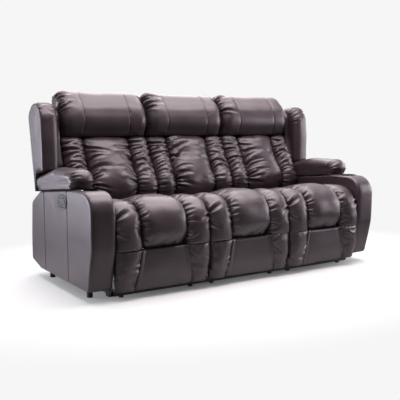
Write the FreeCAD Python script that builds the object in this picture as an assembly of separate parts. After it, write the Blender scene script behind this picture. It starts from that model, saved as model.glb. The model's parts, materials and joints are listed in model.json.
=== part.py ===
import FreeCAD, Part
import math
import os
from FreeCAD import Vector

# Three-seat reclining sofa with wings. Millimetres, Z up, the front faces -Y.
# The origin is on the floor under the middle of the sofa.
# The two end seats recline and raise a footrest, the middle seat is fixed.
os.makedirs("parts", exist_ok=True)

# Seats and arms across the sofa
SEAT_PITCH = 540.0
SEAT_GAP = 1.0
ARM_WIDTH = 127.0

# Floor frame
FOOT_HEIGHT = 10.0
FOOT_RADIUS = 14.0
FOOT_INSET = 34.0
RAIL_SIZE = 25.0
RAIL_WALL = 2.0
BASE_FRONT_Y = -350.0
BASE_REAR_Y = 325.0
ARM_BRACKET_THICK = 6.0
ARM_BRACKET_WIDE = 40.0
ARM_BRACKET_TOP = 120.0

# Steel mechanism plates and the planes of the links beside them
SEAT_SIDE_ROOM = 9.5
LINK_THICK = 4.0
LINK_GAP = 1.0
PLATE_TOP = 316.0
PLATE_WINDOW = (-90.0, 85.0, 250.0, 290.0)
PLATE_FRONT_LEG = 60.0
PLATE_REAR_LEG_Y = (160.0, 225.0)
PLATE_ARCH_Z = 215.0
PIN_FIT = 0.05
OPEN_PIVOT_FIT = 2.0
PIN_RADIUS = 5.0
SMALL_PIN_RADIUS = 4.0
EYE_RADIUS = 11.0
HUB_RADIUS = 16.0
BOLT_HEAD_RADIUS = 8.5
HEAD_HEIGHT = 2.5
TUBE_RADIUS = 10.0

# Footrest linkage, folded, as (y, z)
DRIVE_AXIS = (-232.5, 277.6)
HELPER_AXIS = (-166.5, 272.6)
KNEE = (-170.8, 111.6)
TAIL = (-100.3, 109.8)
UPPER_KNEE = (-137.5, 154.6)
FOOT_PIVOT = (-358.4, 194.3)
FOOT_GUIDE = (-330.6, 235.8)

# Crank and linear drive
DRIVE_TURN = 85.47
CRANK_RADIUS = 60.0
CRANK_THICK = 8.0
CRANK_SLOT_FIT = 3.2
FORK_CHEEK = 5.0
FORK_LENGTH = 46.0
FORK_HEIGHT = 22.0
ROD_RADIUS = 8.0
ROD_LENGTH = 250.0
DRIVE_TUBE_RADIUS = 18.0
DRIVE_TUBE_FRONT_Y = -142.0
DRIVE_TUBE_LENGTH = 280.0
GEARBOX_LENGTH = 78.0
GEARBOX_WIDTH = 66.0
MOTOR_RADIUS = 26.0
MOTOR_LENGTH = 150.0
CROSS_BAR_Y = 230.0
CROSS_BAR_RADIUS = 12.5

# Back hinge
HINGE_AXIS = (270.0, 290.0)
HINGE_PIN_RADIUS = 6.0

# Timber seat frame and webbing
TIMBER = 22.0
SEAT_RAIL_TOP = 330.0
SEAT_RAIL_DEPTH = 36.0
SEAT_RAIL_REAR_Y = 130.0
WEB_WIDTH = 48.0
WEB_THICK = 3.0
WEB_COUNT = 6

# Seat cushion
SEAT_FRONT_Y = -450.0
SEAT_TOP_Z = 484.0
SEAT_REAR_Y = 150.0
SEAT_REAR_Z = 386.0
NOSE_BOTTOM_Z = 244.0
NOSE_THICK = 54.0
CHANNEL_X = 128.0
CHANNEL_DEEP = 15.0
SOFT_FIT = 0.4

# Footrest pad and its steel pan
PAD_TOP_Z = 238.5
PAD_BOTTOM_Z = 40.0
PAD_REAR_Y = -395.0
PAD_SEAM_TOP_X = 131.0
PAD_SEAM_FLARE = 38.0
PAD_SEAM_DEEP = 13.0
PAN_WALL = 3.0
PAN_DEEP = 15.0
PAN_TOP_Z = 222.0
PAN_BOTTOM_Z = 58.0
PAN_WINDOW_WIDE = 84.0
PAN_WINDOW_MARGIN = 44.0

# Backs
BACK_REAR_BOTTOM = (293.0, 265.0)
BACK_REAR_SLOPE = 0.19
SHELL_THICK = 10.0
BACK_TUBE = 25.0
EAR_REACH = 5.0
BACK_BAR_LOW_Z = 400.0
BACK_BAR_MID_Z = 560.0
WING_BAR_Z = 700.0
LUMBAR_BOTTOM_Z = 405.5
LUMBAR_TOP_Z = 774.0
LUMBAR_FRONT_Y = 72.0
LUMBAR_TOP_Y = 236.0
BACK_CHANNEL_X = 140.0
HEAD_BOTTOM_Z = 790.0
HEAD_TOP_Z = 1040.0
HEAD_FRONT_Y = 204.0
HEAD_REAR_Y = 460.2
HEAD_END_ROOM = 7.5
HEAD_CROWN = 60.0

# Wings
WING_OVERHANG = 8.0
WING_THICK = 78.0
WING_TOP_Z = 976.0
WING_FRONT_Y = 169.0
WING_REAR_Y = 386.0
WING_LOW_Z = 481.0
WING_CLEAR = 3.5

# Arms, outer side outline
ARM_FRONT_Y = -442.0
ARM_REAR_Y = 413.0
ARM_BOTTOM_Z = 54.0
ARM_TOP_Z = 535.0
ARM_FRONT_ROUND = 105.0
ARM_SKIN = 12.0
ARM_FRAME_DEEP = 38.0
ARM_FRAME_THICK = 47.0
ARM_LEG_RADIUS = 15.0
ARM_LEGS_Y = (-257.0, 255.0)
ARM_PAD_TOP_Z = 627.0
ARM_PAD_FRONT_Y = -226.0
ARM_PAD_REAR_Y = 284.0
ARM_PAD_BEND_Y = 40.0
ARM_PAD_SLOPE = 0.218

# Cup holders
CUP_Y = -290.0
CUP_RADIUS = 42.0
CUP_WALL = 1.5
CUP_DEEP = 76.0
CUP_RIM_RADIUS = 48.0
CUP_RIM_THICK = 3.0

# Switch on the outer face of each arm
SWITCH_Y = -83.0
SWITCH_Z = 462.0
SWITCH_LONG = 120.0
SWITCH_HIGH = 80.0
SWITCH_THICK = 5.0
SWITCH_BOX_DEEP = 22.0
SWITCH_BOX_WALL = 2.0
BUTTON_LONG = 24.0
BUTTON_HIGH = 30.0
BUTTON_CORNER = 3.0
BUTTON_RAISED = 1.5
BUTTON_FIT = 0.1
BUTTON_STEP = 26.5
BUTTON_SHIFT = -14.0

# Values worked out from the sizes above
HALF_SEAT = (SEAT_PITCH - SEAT_GAP) / 2
PLATE_FACE = HALF_SEAT - SEAT_SIDE_ROOM - TIMBER - LINK_THICK
BACK_TUBE_X = PLATE_FACE - EAR_REACH - BACK_TUBE
HEAD_HALF = HALF_SEAT - HEAD_END_ROOM
ARM_INNER = SEAT_PITCH * 1.5
ARM_OUTER = ARM_INNER + ARM_WIDTH
ARM_MID = (ARM_INNER + ARM_OUTER) / 2
WING_OUTER = ARM_OUTER + WING_OVERHANG
RAIL_TOP = FOOT_HEIGHT + RAIL_SIZE
PLATE_OUTER = PLATE_FACE + LINK_THICK
LINK_STEP = LINK_THICK + LINK_GAP
RUNNER_X = PLATE_FACE + LINK_THICK / 2
CUSHION_BASE = SEAT_RAIL_TOP + WEB_THICK
SIDES = (-1, 1)
END_SEATS = {"l": -1, "r": 1}


def at_x(x):
    return lambda y, z: Vector(x, y, z)


def at_y(y):
    return lambda x, z: Vector(x, y, z)


def at_z(z):
    return lambda x, y: Vector(x, y, z)


def outline(corners, place):
    """Closed wire through (u, v) or (u, v, radius) corners, rounded by arcs."""
    edges = []
    starts = []
    count = len(corners)
    for i in range(count):
        u, v = corners[i][:2]
        radius = corners[i][2] if len(corners[i]) > 2 else 0
        here = Vector(u, v, 0)
        back = Vector(*corners[i - 1][:2], 0) - here
        ahead = Vector(*corners[(i + 1) % count][:2], 0) - here
        if radius == 0:
            starts.append((here, here))
            continue
        half = back.getAngle(ahead) / 2
        run = min(radius / math.tan(half), 0.47 * min(back.Length, ahead.Length))
        radius = run * math.tan(half)
        back.normalize()
        ahead.normalize()
        middle = (back + ahead).normalize()
        centre = here + middle * (radius / math.sin(half))
        first = here + back * run
        last = here + ahead * run
        top = centre - middle * radius
        spots = [place(p.x, p.y) for p in (first, top, last)]
        edges.append((i, Part.Arc(*spots).toShape()))
        starts.append((first, last))
    arcs = dict(edges)
    path = []
    for i in range(count):
        if i in arcs:
            path.append(arcs[i])
        end = starts[i][1]
        following = starts[(i + 1) % count][0]
        path.append(Part.makeLine(place(end.x, end.y), place(following.x, following.y)))
    return Part.Wire(path)


def prism(corners, place, along):
    return Part.Face(outline(corners, place)).extrude(along)


def slab(corners, x0, x1):
    """Flat piece with a side outline of (y, z) corners, from x0 to x1."""
    return prism(corners, at_x(x0), Vector(x1 - x0, 0, 0))


def box(x0, x1, y0, y1, z0, z1):
    return Part.makeBox(x1 - x0, y1 - y0, z1 - z0, Vector(x0, y0, z0))


def rod_x(centre, radius, x0, x1):
    """Round bar along X about a (y, z) centre."""
    return Part.makeCylinder(radius, x1 - x0, Vector(x0, *centre), Vector(1, 0, 0))


def rod_y(x, z, radius, y0, y1):
    return Part.makeCylinder(radius, y1 - y0, Vector(x, y0, z), Vector(0, 1, 0))


def rod_z(x, y, radius, z0, z1):
    return Part.makeCylinder(radius, z1 - z0, Vector(x, y, z0))


def inset(corners, depth):
    """The same outline with every side moved inwards by depth."""
    count = len(corners)
    area = 0
    for i in range(count):
        u0, v0 = corners[i - 1][:2]
        u1, v1 = corners[i][:2]
        area += u0 * v1 - u1 * v0
    turn = 1 if area > 0 else -1
    result = []
    for i in range(count):
        here = Vector(*corners[i][:2], 0)
        before = (here - Vector(*corners[i - 1][:2], 0)).normalize()
        after = (Vector(*corners[(i + 1) % count][:2], 0) - here).normalize()
        normal_before = Vector(-before.y, before.x, 0) * turn
        normal_after = Vector(-after.y, after.x, 0) * turn
        reach = depth / (1 + normal_before.dot(normal_after))
        spot = here + (normal_before + normal_after) * reach
        radius = corners[i][2] if len(corners[i]) > 2 else 0
        outward = turn * (before.x * after.y - before.y * after.x) > 0
        if radius:
            radius = max(radius - depth, 1.0) if outward else radius + depth
        result.append((spot.x, spot.y, radius))
    return result


def loft(wires):
    return Part.makeLoft(wires, True, True)


def crowned(section, half_stations):
    """Soft form lofted along X. A station is (x, how far the section is drawn in)."""
    left = [(-x, drawn) for x, drawn in reversed(half_stations) if x > 0]
    wires = [outline(section(drawn), at_x(x)) for x, drawn in left + half_stations]
    return loft(wires)


def join(shapes):
    whole = shapes[0].multiFuse(shapes[1:]) if len(shapes) > 1 else shapes[0]
    return whole.removeSplitter()


def both_sides(shape):
    """A shape and its mirror image in the middle plane of its seat."""
    return [shape, mirrored(shape)]


def mirrored(shape):
    return shape.mirror(Vector(0, 0, 0), Vector(1, 0, 0))


def moved(shape, x):
    return shape.translated(Vector(x, 0, 0))


def group(shapes):
    return Part.makeCompound(shapes)


def export(name, shape):
    shape.exportStep("parts/" + name + ".step")


def link_face(p, q, rp, rq):
    """Flat bar outline round two eyes, as (y, z, radius) turned into a face at X = 0."""
    start = Vector(0, *p)
    end = Vector(0, *q)
    along = end - start
    lean = math.asin((rp - rq) / along.Length)
    heading = math.atan2(along.z, along.y)

    def spot(centre, radius, angle):
        return centre + Vector(0, math.cos(angle), math.sin(angle)) * radius

    upper = heading + math.pi / 2 - lean
    lower = heading - math.pi / 2 + lean
    a = spot(start, rp, upper)
    b = spot(start, rp, heading + math.pi)
    c = spot(start, rp, lower)
    d = spot(end, rq, lower)
    e = spot(end, rq, heading)
    f = spot(end, rq, upper)
    edges = [Part.Arc(a, b, c).toShape(), Part.makeLine(c, d)]
    edges += [Part.Arc(d, e, f).toShape(), Part.makeLine(f, a)]
    return Part.Face(Part.Wire(edges))


def link_bar(p, q, rp, rq, x0):
    """One flat link of the sheet thickness with its inner face at x0."""
    return moved(link_face(p, q, rp, rq).extrude(Vector(LINK_THICK, 0, 0)), x0)


def six_sided(centre, radius):
    """Corners of a hexagon about a centre."""
    corners = []
    for i in range(6):
        angle = i * math.pi / 3
        corners.append((centre[0] + radius * math.cos(angle),
                        centre[1] + radius * math.sin(angle)))
    return corners


def bolt_head(centre, x0):
    """Head of a shoulder bolt about a (y, z) centre."""
    return slab(six_sided(centre, BOLT_HEAD_RADIUS), x0, x0 + HEAD_HEIGHT)


def plane(number):
    """Inner face of a link plane, counted inwards from the mechanism plate."""
    return PLATE_FACE - number * LINK_STEP


def rear_y(z):
    """Rear surface of a back at a height."""
    return BACK_REAR_BOTTOM[0] + (z - BACK_REAR_BOTTOM[1]) * BACK_REAR_SLOPE


# Floor frame

def hollow_rail(x0, x1, y0, y1):
    """Square tube lying on the feet, open through its longer direction."""
    outer = box(x0, x1, y0, y1, FOOT_HEIGHT, RAIL_TOP)
    wall_x = 0 if x1 - x0 > y1 - y0 else RAIL_WALL
    wall_y = RAIL_WALL - wall_x
    inner = box(x0 + wall_x, x1 - wall_x, y0 + wall_y, y1 - wall_y,
                FOOT_HEIGHT + RAIL_WALL, RAIL_TOP - RAIL_WALL)
    return outer.cut(inner)


def arm_bracket(y0):
    """Bent strap from a rail end to the inner side of the right arm."""
    start = SEAT_PITCH + RUNNER_X
    rise = box(ARM_INNER - ARM_BRACKET_THICK, ARM_INNER, y0, y0 + ARM_BRACKET_WIDE,
               FOOT_HEIGHT, ARM_BRACKET_TOP)
    foot = box(start, ARM_INNER, y0, y0 + ARM_BRACKET_WIDE,
               FOOT_HEIGHT, FOOT_HEIGHT + ARM_BRACKET_THICK)
    return rise.fuse(foot)


def base_rails():
    end = SEAT_PITCH + RUNNER_X + RAIL_SIZE / 2
    front_inner = BASE_FRONT_Y + RAIL_SIZE
    rear_inner = BASE_REAR_Y - RAIL_SIZE
    pieces = [hollow_rail(-end, end, BASE_FRONT_Y, front_inner),
              hollow_rail(-end, end, rear_inner, BASE_REAR_Y)]
    for centre in (-SEAT_PITCH, 0, SEAT_PITCH):
        for side in SIDES:
            x = centre + side * RUNNER_X
            pieces.append(hollow_rail(x - RAIL_SIZE / 2, x + RAIL_SIZE / 2,
                                      front_inner, rear_inner))
    for y0 in (front_inner - ARM_BRACKET_WIDE / 2, rear_inner - ARM_BRACKET_WIDE / 2):
        pieces += both_sides(arm_bracket(y0))
    return join(pieces)


def base_feet():
    """Six-sided levelling glides under the front and rear rails."""
    feet = []
    for centre in (-SEAT_PITCH, 0, SEAT_PITCH):
        for side in SIDES:
            x = centre + side * (RUNNER_X - FOOT_INSET)
            for y in (BASE_FRONT_Y + RAIL_SIZE / 2, BASE_REAR_Y - RAIL_SIZE / 2):
                feet.append(prism(six_sided((x, y), FOOT_RADIUS), at_z(0),
                                  Vector(0, 0, FOOT_HEIGHT)))
    return group(feet)


# Seats

def seat_rails(lowest):
    """Front, rear and side timbers. The side timbers reach down to a height."""
    bottom = SEAT_RAIL_TOP - SEAT_RAIL_DEPTH
    sides = [(BASE_FRONT_Y, bottom, 3), (BASE_FRONT_Y, SEAT_RAIL_TOP),
             (SEAT_RAIL_REAR_Y, SEAT_RAIL_TOP), (SEAT_RAIL_REAR_Y, bottom, 3)]
    if lowest < bottom:
        leg = 2.5 * TIMBER
        rear = HINGE_AXIS[0] + 10
        sides = [(BASE_FRONT_Y, lowest), (BASE_FRONT_Y, SEAT_RAIL_TOP),
                 (rear, SEAT_RAIL_TOP), (rear, lowest), (rear - leg, lowest),
                 (rear - leg, bottom, 60),
                 (BASE_FRONT_Y + leg, bottom, 60), (BASE_FRONT_Y + leg, lowest)]
    pieces = both_sides(slab(sides, PLATE_OUTER, PLATE_OUTER + TIMBER))
    inner = PLATE_OUTER
    front = SEAT_RAIL_TOP - SEAT_RAIL_DEPTH + 3
    pieces.append(box(-inner, inner, BASE_FRONT_Y, BASE_FRONT_Y + TIMBER,
                      front, SEAT_RAIL_TOP))
    pieces.append(box(-inner, inner, SEAT_RAIL_REAR_Y - TIMBER, SEAT_RAIL_REAR_Y,
                      front, SEAT_RAIL_TOP))
    return join(pieces)


def webbing():
    """Elastic straps from the front timber to the rear one."""
    straps = []
    for i in range(WEB_COUNT):
        x = (i + 0.5 - WEB_COUNT / 2) * 2 * PLATE_FACE / WEB_COUNT
        straps.append(box(x - WEB_WIDTH / 2, x + WEB_WIDTH / 2, BASE_FRONT_Y,
                          SEAT_RAIL_REAR_Y, SEAT_RAIL_TOP, CUSHION_BASE))
    return group(straps)


def seat_section(drawn):
    """Side outline of the seat cushion. Its nose hangs in front of the frame."""
    nose_rear = SEAT_FRONT_Y + NOSE_THICK
    nose_top = SEAT_RAIL_TOP - SEAT_RAIL_DEPTH
    return [(nose_rear, NOSE_BOTTOM_Z + drawn / 3),
            (SEAT_FRONT_Y + drawn, NOSE_BOTTOM_Z + drawn / 3, 22),
            (SEAT_FRONT_Y + drawn, SEAT_TOP_Z - drawn, 58),
            (SEAT_FRONT_Y + 210, SEAT_TOP_Z - 4 - drawn, 300),
            (SEAT_REAR_Y, SEAT_REAR_Z - drawn, 20),
            (SEAT_REAR_Y, CUSHION_BASE),
            (BASE_FRONT_Y - SOFT_FIT, CUSHION_BASE),
            (BASE_FRONT_Y - SOFT_FIT, nose_top),
            (nose_rear, nose_top)]


def channelled(half_width, channel, deep, crown, end):
    """Stations of a cushion with a drawn-in end and one sewn channel on each side."""
    return [(0, 0), (channel - 14, crown), (channel, deep), (channel + 14, crown),
            (half_width - 12, crown + 1), (half_width, end)]


def seat_cushion():
    return crowned(seat_section, channelled(HALF_SEAT, CHANNEL_X, CHANNEL_DEEP, 3, 17))


def pad_seam():
    """Wedge that cuts the right sewn seam of a lower pad, flaring to the floor."""
    front = SEAT_FRONT_Y
    x = PAD_SEAM_TOP_X
    mouth = [(x - 16, front - 4), (x + 16, front - 4), (x, front + PAD_SEAM_DEEP)]
    fall = Vector(-PAD_SEAM_FLARE, 0, PAD_TOP_Z - PAD_BOTTOM_Z)
    wedge = Part.Face(outline(mouth, at_z(PAD_BOTTOM_Z))).extrude(fall)
    return wedge.translated(Vector(PAD_SEAM_FLARE, 0, 0))


def lower_pad():
    """Upholstered lower front, crowned over its height, with two flared seams."""
    half = HALF_SEAT - 1
    front, low, top = SEAT_FRONT_Y, PAD_BOTTOM_Z, PAD_TOP_Z
    side = [(PAD_REAR_Y, low), (front + 26, low, 10), (front, low + 62, 160),
            (front, top, 26), (PAD_REAR_Y, top)]
    body = slab(side, -half, half)
    ahead = [(half - 34, low), (half, low + 64, 90), (half, top, 24)]
    ahead += [(-corner[0],) + corner[1:] for corner in reversed(ahead)]
    above = [(-half, front - 4, 22), (half, front - 4, 22), (half, PAD_REAR_Y),
             (-half, PAD_REAR_Y)]
    body = body.common(prism(ahead, at_y(front - 5), Vector(0, PAD_REAR_Y - front + 5, 0)))
    body = body.common(prism(above, at_z(low), Vector(0, 0, top - low)))
    for seam in both_sides(pad_seam()):
        body = body.cut(seam)
    return body


def fixed_board():
    """Timber board behind the middle seat's lower pad, with two cleats."""
    board = box(-HALF_SEAT + 40, HALF_SEAT - 40, PAD_REAR_Y, PAD_REAR_Y + 12,
                PAN_BOTTOM_Z, PAN_TOP_Z)
    rail_bottom = SEAT_RAIL_TOP - SEAT_RAIL_DEPTH + 3
    low = PAN_BOTTOM_Z + 20
    side = [(PAD_REAR_Y + 12, low), (PAD_REAR_Y + 12, rail_bottom - 4),
            (BASE_FRONT_Y, rail_bottom - 4), (BASE_FRONT_Y, rail_bottom),
            (BASE_FRONT_Y + TIMBER, rail_bottom), (BASE_FRONT_Y + TIMBER, low)]
    cleats = both_sides(slab(side, CHANNEL_X - 20, CHANNEL_X + 20))
    return join([board] + cleats)


# Footrest mechanism

def plate_outline():
    """Side outline of a mechanism plate, arched between its two legs."""
    y, z = HINGE_AXIS
    front = BASE_FRONT_Y + 40
    front_leg = front + PLATE_FRONT_LEG
    rear_leg, rear = PLATE_REAR_LEG_Y
    return [(front, PLATE_TOP), (front, RAIL_TOP), (front_leg, RAIL_TOP),
            (front_leg + 40, PLATE_ARCH_Z, 50), (rear_leg - 50, PLATE_ARCH_Z, 50),
            (rear_leg, RAIL_TOP), (rear, RAIL_TOP), (y - 27, z - 25), (y, z - HUB_RADIUS),
            (y, z + HUB_RADIUS), (y - 30, PLATE_TOP)]


def rod_line():
    """Height of the push rod and its (y) pin position, folded."""
    half = math.radians(DRIVE_TURN / 2)
    height = DRIVE_AXIS[1] - CRANK_RADIUS * math.cos(half)
    return height, DRIVE_AXIS[0] + CRANK_RADIUS * math.sin(half)


def mechanism_plates():
    """Two bored side plates, the rear cross tube and the rest under the drive."""
    plate = slab(plate_outline(), PLATE_FACE, PLATE_OUTER)
    plate = plate.fuse(rod_x(HINGE_AXIS, HUB_RADIUS, PLATE_FACE, PLATE_OUTER))
    bores = [(DRIVE_AXIS, TUBE_RADIUS), (HELPER_AXIS, PIN_RADIUS),
             (HINGE_AXIS, HINGE_PIN_RADIUS)]
    for centre, radius in bores:
        plate = plate.cut(rod_x(centre, radius + PIN_FIT, PLATE_FACE - 1, PLATE_OUTER + 1))
    plate = plate.cut(box(PLATE_FACE - 1, PLATE_OUTER + 1, *PLATE_WINDOW))
    notch = box(PLATE_FACE - 1, PLATE_OUTER + 1, SEAT_RAIL_REAR_Y - TIMBER - SOFT_FIT,
                SEAT_RAIL_REAR_Y + SOFT_FIT, SEAT_RAIL_TOP - SEAT_RAIL_DEPTH + 3 - SOFT_FIT,
                SEAT_RAIL_TOP)
    plate = plate.cut(notch)
    height = rod_line()[0]
    tube = rod_x((CROSS_BAR_Y, height), CROSS_BAR_RADIUS, -PLATE_FACE, PLATE_FACE)
    rest_top = height - DRIVE_TUBE_RADIUS
    rest = box(-PLATE_FACE, PLATE_FACE, -50, -30, rest_top - 8, rest_top)
    return join(both_sides(plate) + [tube, rest])


def drive_links():
    """Torque tube with a link plate at each end and the slotted crank."""
    x0 = plane(2)
    link = link_bar(DRIVE_AXIS, KNEE, HUB_RADIUS, EYE_RADIUS, x0)
    side = link_bar(DRIVE_AXIS, UPPER_KNEE, HUB_RADIUS, EYE_RADIUS - 1, x0)
    web = slab([DRIVE_AXIS, KNEE, UPPER_KNEE], x0, x0 + LINK_THICK)
    link = join([link, side, web])
    for centre in (KNEE, UPPER_KNEE):
        link = link.cut(rod_x(centre, PIN_RADIUS + PIN_FIT, x0 - 1, x0 + LINK_THICK + 1))
    tube = rod_x(DRIVE_AXIS, TUBE_RADIUS, -PLATE_OUTER - 2, PLATE_OUTER + 2)
    height, pin_y = rod_line()
    y, z = DRIVE_AXIS
    swing = math.radians(DRIVE_TURN / 2)
    crank = link_face((y, z), (pin_y, height), HUB_RADIUS, SMALL_PIN_RADIUS + 12)
    crank = moved(crank.extrude(Vector(CRANK_THICK, 0, 0)), -CRANK_THICK / 2)
    near = CRANK_RADIUS * math.cos(swing)
    inner = (y + near * math.sin(swing), z - near * math.cos(swing))
    slot_radius = SMALL_PIN_RADIUS + CRANK_SLOT_FIT
    slot = link_face(inner, (pin_y, height), slot_radius, slot_radius)
    slot = moved(slot.extrude(Vector(CRANK_THICK + 2, 0, 0)), -CRANK_THICK / 2 - 1)
    return join(both_sides(link) + [tube, crank.cut(slot)])


def carrier_link():
    """Second link, from the knee to the footrest, with a tail for the helper."""
    x0 = plane(3)
    outer = plane(2) + LINK_THICK
    bar = join([link_bar(KNEE, FOOT_PIVOT, EYE_RADIUS, EYE_RADIUS, x0),
                link_bar(KNEE, TAIL, EYE_RADIUS, EYE_RADIUS, x0)])
    pieces = [bar]
    for centre in (KNEE, FOOT_PIVOT):
        pieces.append(rod_x(centre, PIN_RADIUS, x0, outer))
        pieces.append(bolt_head(centre, x0 - HEAD_HEIGHT))
    pieces.append(rod_x(TAIL, SMALL_PIN_RADIUS, plane(4), x0))
    return group(both_sides(join(pieces)))


def rear_helper():
    """Helper link from the mechanism plate to the tail of the carrier link."""
    x0 = plane(4)
    bar = link_bar(HELPER_AXIS, TAIL, EYE_RADIUS - 1, EYE_RADIUS, x0)
    bar = bar.cut(rod_x(TAIL, SMALL_PIN_RADIUS + OPEN_PIVOT_FIT, x0 - 1, x0 + LINK_STEP))
    pin = rod_x(HELPER_AXIS, PIN_RADIUS, x0, PLATE_OUTER)
    return group(both_sides(join([bar, pin])))


def front_helper():
    """Helper link from the drive link to the footrest bracket."""
    x0 = plane(1)
    bar = link_bar(UPPER_KNEE, FOOT_GUIDE, EYE_RADIUS - 1, EYE_RADIUS - 1, x0)
    pins = [rod_x(UPPER_KNEE, PIN_RADIUS, plane(2), x0 + LINK_THICK),
            rod_x(FOOT_GUIDE, SMALL_PIN_RADIUS, plane(2), x0 + LINK_THICK)]
    return group(both_sides(join([bar] + pins)))


def footrest_pan():
    """Pressed steel pan behind the pad with its two hanger brackets."""
    x0 = plane(2)
    half = x0 + LINK_THICK
    pan = box(-half, half, PAD_REAR_Y, PAD_REAR_Y + PAN_DEEP, PAN_BOTTOM_Z, PAN_TOP_Z)
    hollow = box(-half + PAN_WALL, half - PAN_WALL, PAD_REAR_Y + PAN_WALL,
                 PAD_REAR_Y + PAN_DEEP, PAN_BOTTOM_Z + PAN_WALL, PAN_TOP_Z - PAN_WALL)
    pan = pan.cut(hollow)
    window_low = PAN_BOTTOM_Z + PAN_WINDOW_MARGIN
    window_high = PAN_TOP_Z - PAN_WINDOW_MARGIN
    for i in (-1, 0, 1):
        x = i * (PAN_WINDOW_WIDE + PAN_WINDOW_MARGIN)
        pan = pan.cut(box(x - PAN_WINDOW_WIDE / 2, x + PAN_WINDOW_WIDE / 2, PAD_REAR_Y - 1,
                          PAD_REAR_Y + PAN_WALL + 1, window_low, window_high))
    eyes = link_bar(FOOT_PIVOT, FOOT_GUIDE, EYE_RADIUS, EYE_RADIUS, x0)
    y, z = FOOT_PIVOT
    gusset = slab([(PAD_REAR_Y + PAN_WALL, PAN_TOP_Z - 4), (PAD_REAR_Y + PAN_WALL, z - 60),
                   (y - 6, z - 9), (y, z), FOOT_GUIDE, (FOOT_GUIDE[0] - 8, FOOT_GUIDE[1] + 8)],
                  x0, half)
    bracket = join([eyes, gusset])
    bracket = bracket.cut(rod_x(FOOT_PIVOT, PIN_RADIUS + PIN_FIT, x0 - 1, half + 1))
    bracket = bracket.cut(rod_x(FOOT_GUIDE, SMALL_PIN_RADIUS + OPEN_PIVOT_FIT, x0 - 1, half + 1))
    return join([pan] + both_sides(bracket))


def drive_body():
    """Linear drive: guide tube, gearbox with its rear eye, and the motor below."""
    height = rod_line()[0]
    rear = DRIVE_TUBE_FRONT_Y + DRIVE_TUBE_LENGTH
    tube = rod_y(0, height, DRIVE_TUBE_RADIUS, DRIVE_TUBE_FRONT_Y, rear)
    gearbox = slab([(rear - 4, height + 26, 8), (rear + GEARBOX_LENGTH - 16, height + 26, 14),
                    (rear + GEARBOX_LENGTH - 16, height - 56, 14), (rear - 4, height - 56, 8)],
                   -GEARBOX_WIDTH / 2, GEARBOX_WIDTH / 2)
    motor_front = rear - MOTOR_LENGTH
    motor = rod_y(0, height - 28 - MOTOR_RADIUS, MOTOR_RADIUS, motor_front + 60, rear)
    lug = link_bar((rear + GEARBOX_LENGTH - 40, height), (CROSS_BAR_Y, height), 18, 22, -8)
    lug = lug.fuse(moved(lug, 12))
    whole = join([tube, gearbox, motor, lug])
    whole = whole.cut(rod_x((CROSS_BAR_Y, height), CROSS_BAR_RADIUS, -40, 40))
    bore = rod_y(0, height, ROD_RADIUS + PIN_FIT, DRIVE_TUBE_FRONT_Y - 1, rear - 12)
    return whole.cut(bore)


def push_rod():
    """Sliding rod with a fork and the pin that runs in the crank's slot."""
    height, pin_y = rod_line()
    cheek_in = CRANK_THICK / 2 + LINK_GAP
    cheek_out = cheek_in + FORK_CHEEK
    nose = pin_y - FORK_HEIGHT / 2
    base = pin_y + FORK_LENGTH
    fork = prism([(-cheek_out, nose, 3), (cheek_out, nose, 3), (cheek_out, base, 3),
                  (-cheek_out, base, 3)], at_z(height - FORK_HEIGHT / 2),
                 Vector(0, 0, FORK_HEIGHT))
    gap = box(-cheek_in, cheek_in, nose - 1, base - 10, height - FORK_HEIGHT, height + FORK_HEIGHT)
    pin = rod_x((pin_y, height), SMALL_PIN_RADIUS, -cheek_out, cheek_out)
    rod = rod_y(0, height, ROD_RADIUS, base - 5, base + ROD_LENGTH)
    return join([fork.cut(gap), pin, rod])


# Backs

def leaning(low, high, front, rear):
    """Side outline of a strip that lies at two depths under the rear surface."""
    return [(rear_y(low) - front, low), (rear_y(low) - rear, low),
            (rear_y(high) - rear, high), (rear_y(high) - front, high)]


def back_frame(hinged, wing_side):
    """Welded square tube frame. A hinged one has ears and pins, and carries a wing."""
    low = HINGE_AXIS[1] - 12
    top = HEAD_BOTTOM_Z - SOFT_FIT
    rear = SHELL_THICK
    front = rear + BACK_TUBE
    stile = slab(leaning(low, top, front, rear), BACK_TUBE_X, BACK_TUBE_X + BACK_TUBE)
    pieces = both_sides(stile)
    for z in (BACK_BAR_LOW_Z, BACK_BAR_MID_Z, WING_BAR_Z, top - BACK_TUBE):
        reach = BACK_TUBE_X
        if z == WING_BAR_Z and wing_side:
            reach = HALF_SEAT + SEAT_GAP + 1
        bar = slab(leaning(z, z + BACK_TUBE, front, rear), -BACK_TUBE_X, reach)
        pieces.append(bar if wing_side >= 0 else mirrored(bar))
    ear_in = BACK_TUBE_X + BACK_TUBE
    y, z = HINGE_AXIS
    ear_out = plane(0) - LINK_GAP if hinged else PLATE_OUTER
    ear = [(y - 13, z + 70, 6), (y - 15, z - 14, 12), (y + 15, z - 14, 12), (y + 26, z + 70, 6)]
    pieces += both_sides(slab(ear, ear_in, ear_out))
    if hinged:
        pieces += both_sides(rod_x(HINGE_AXIS, HINGE_PIN_RADIUS, ear_in, PLATE_OUTER))
    return join(pieces)


def back_shell():
    """Upholstered rear panel with rounded lower corners, leaning with the back."""
    low = BACK_REAR_BOTTOM[1]
    top = HEAD_BOTTOM_Z - SOFT_FIT
    half = HALF_SEAT
    side = slab(leaning(low, top, SHELL_THICK, 0), -half, half)
    cutter = prism([(-half, low, 30), (half, low, 30), (half, top), (-half, top)],
                   at_y(0), Vector(0, HEAD_REAR_Y, 0))
    return side.common(cutter)


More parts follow.
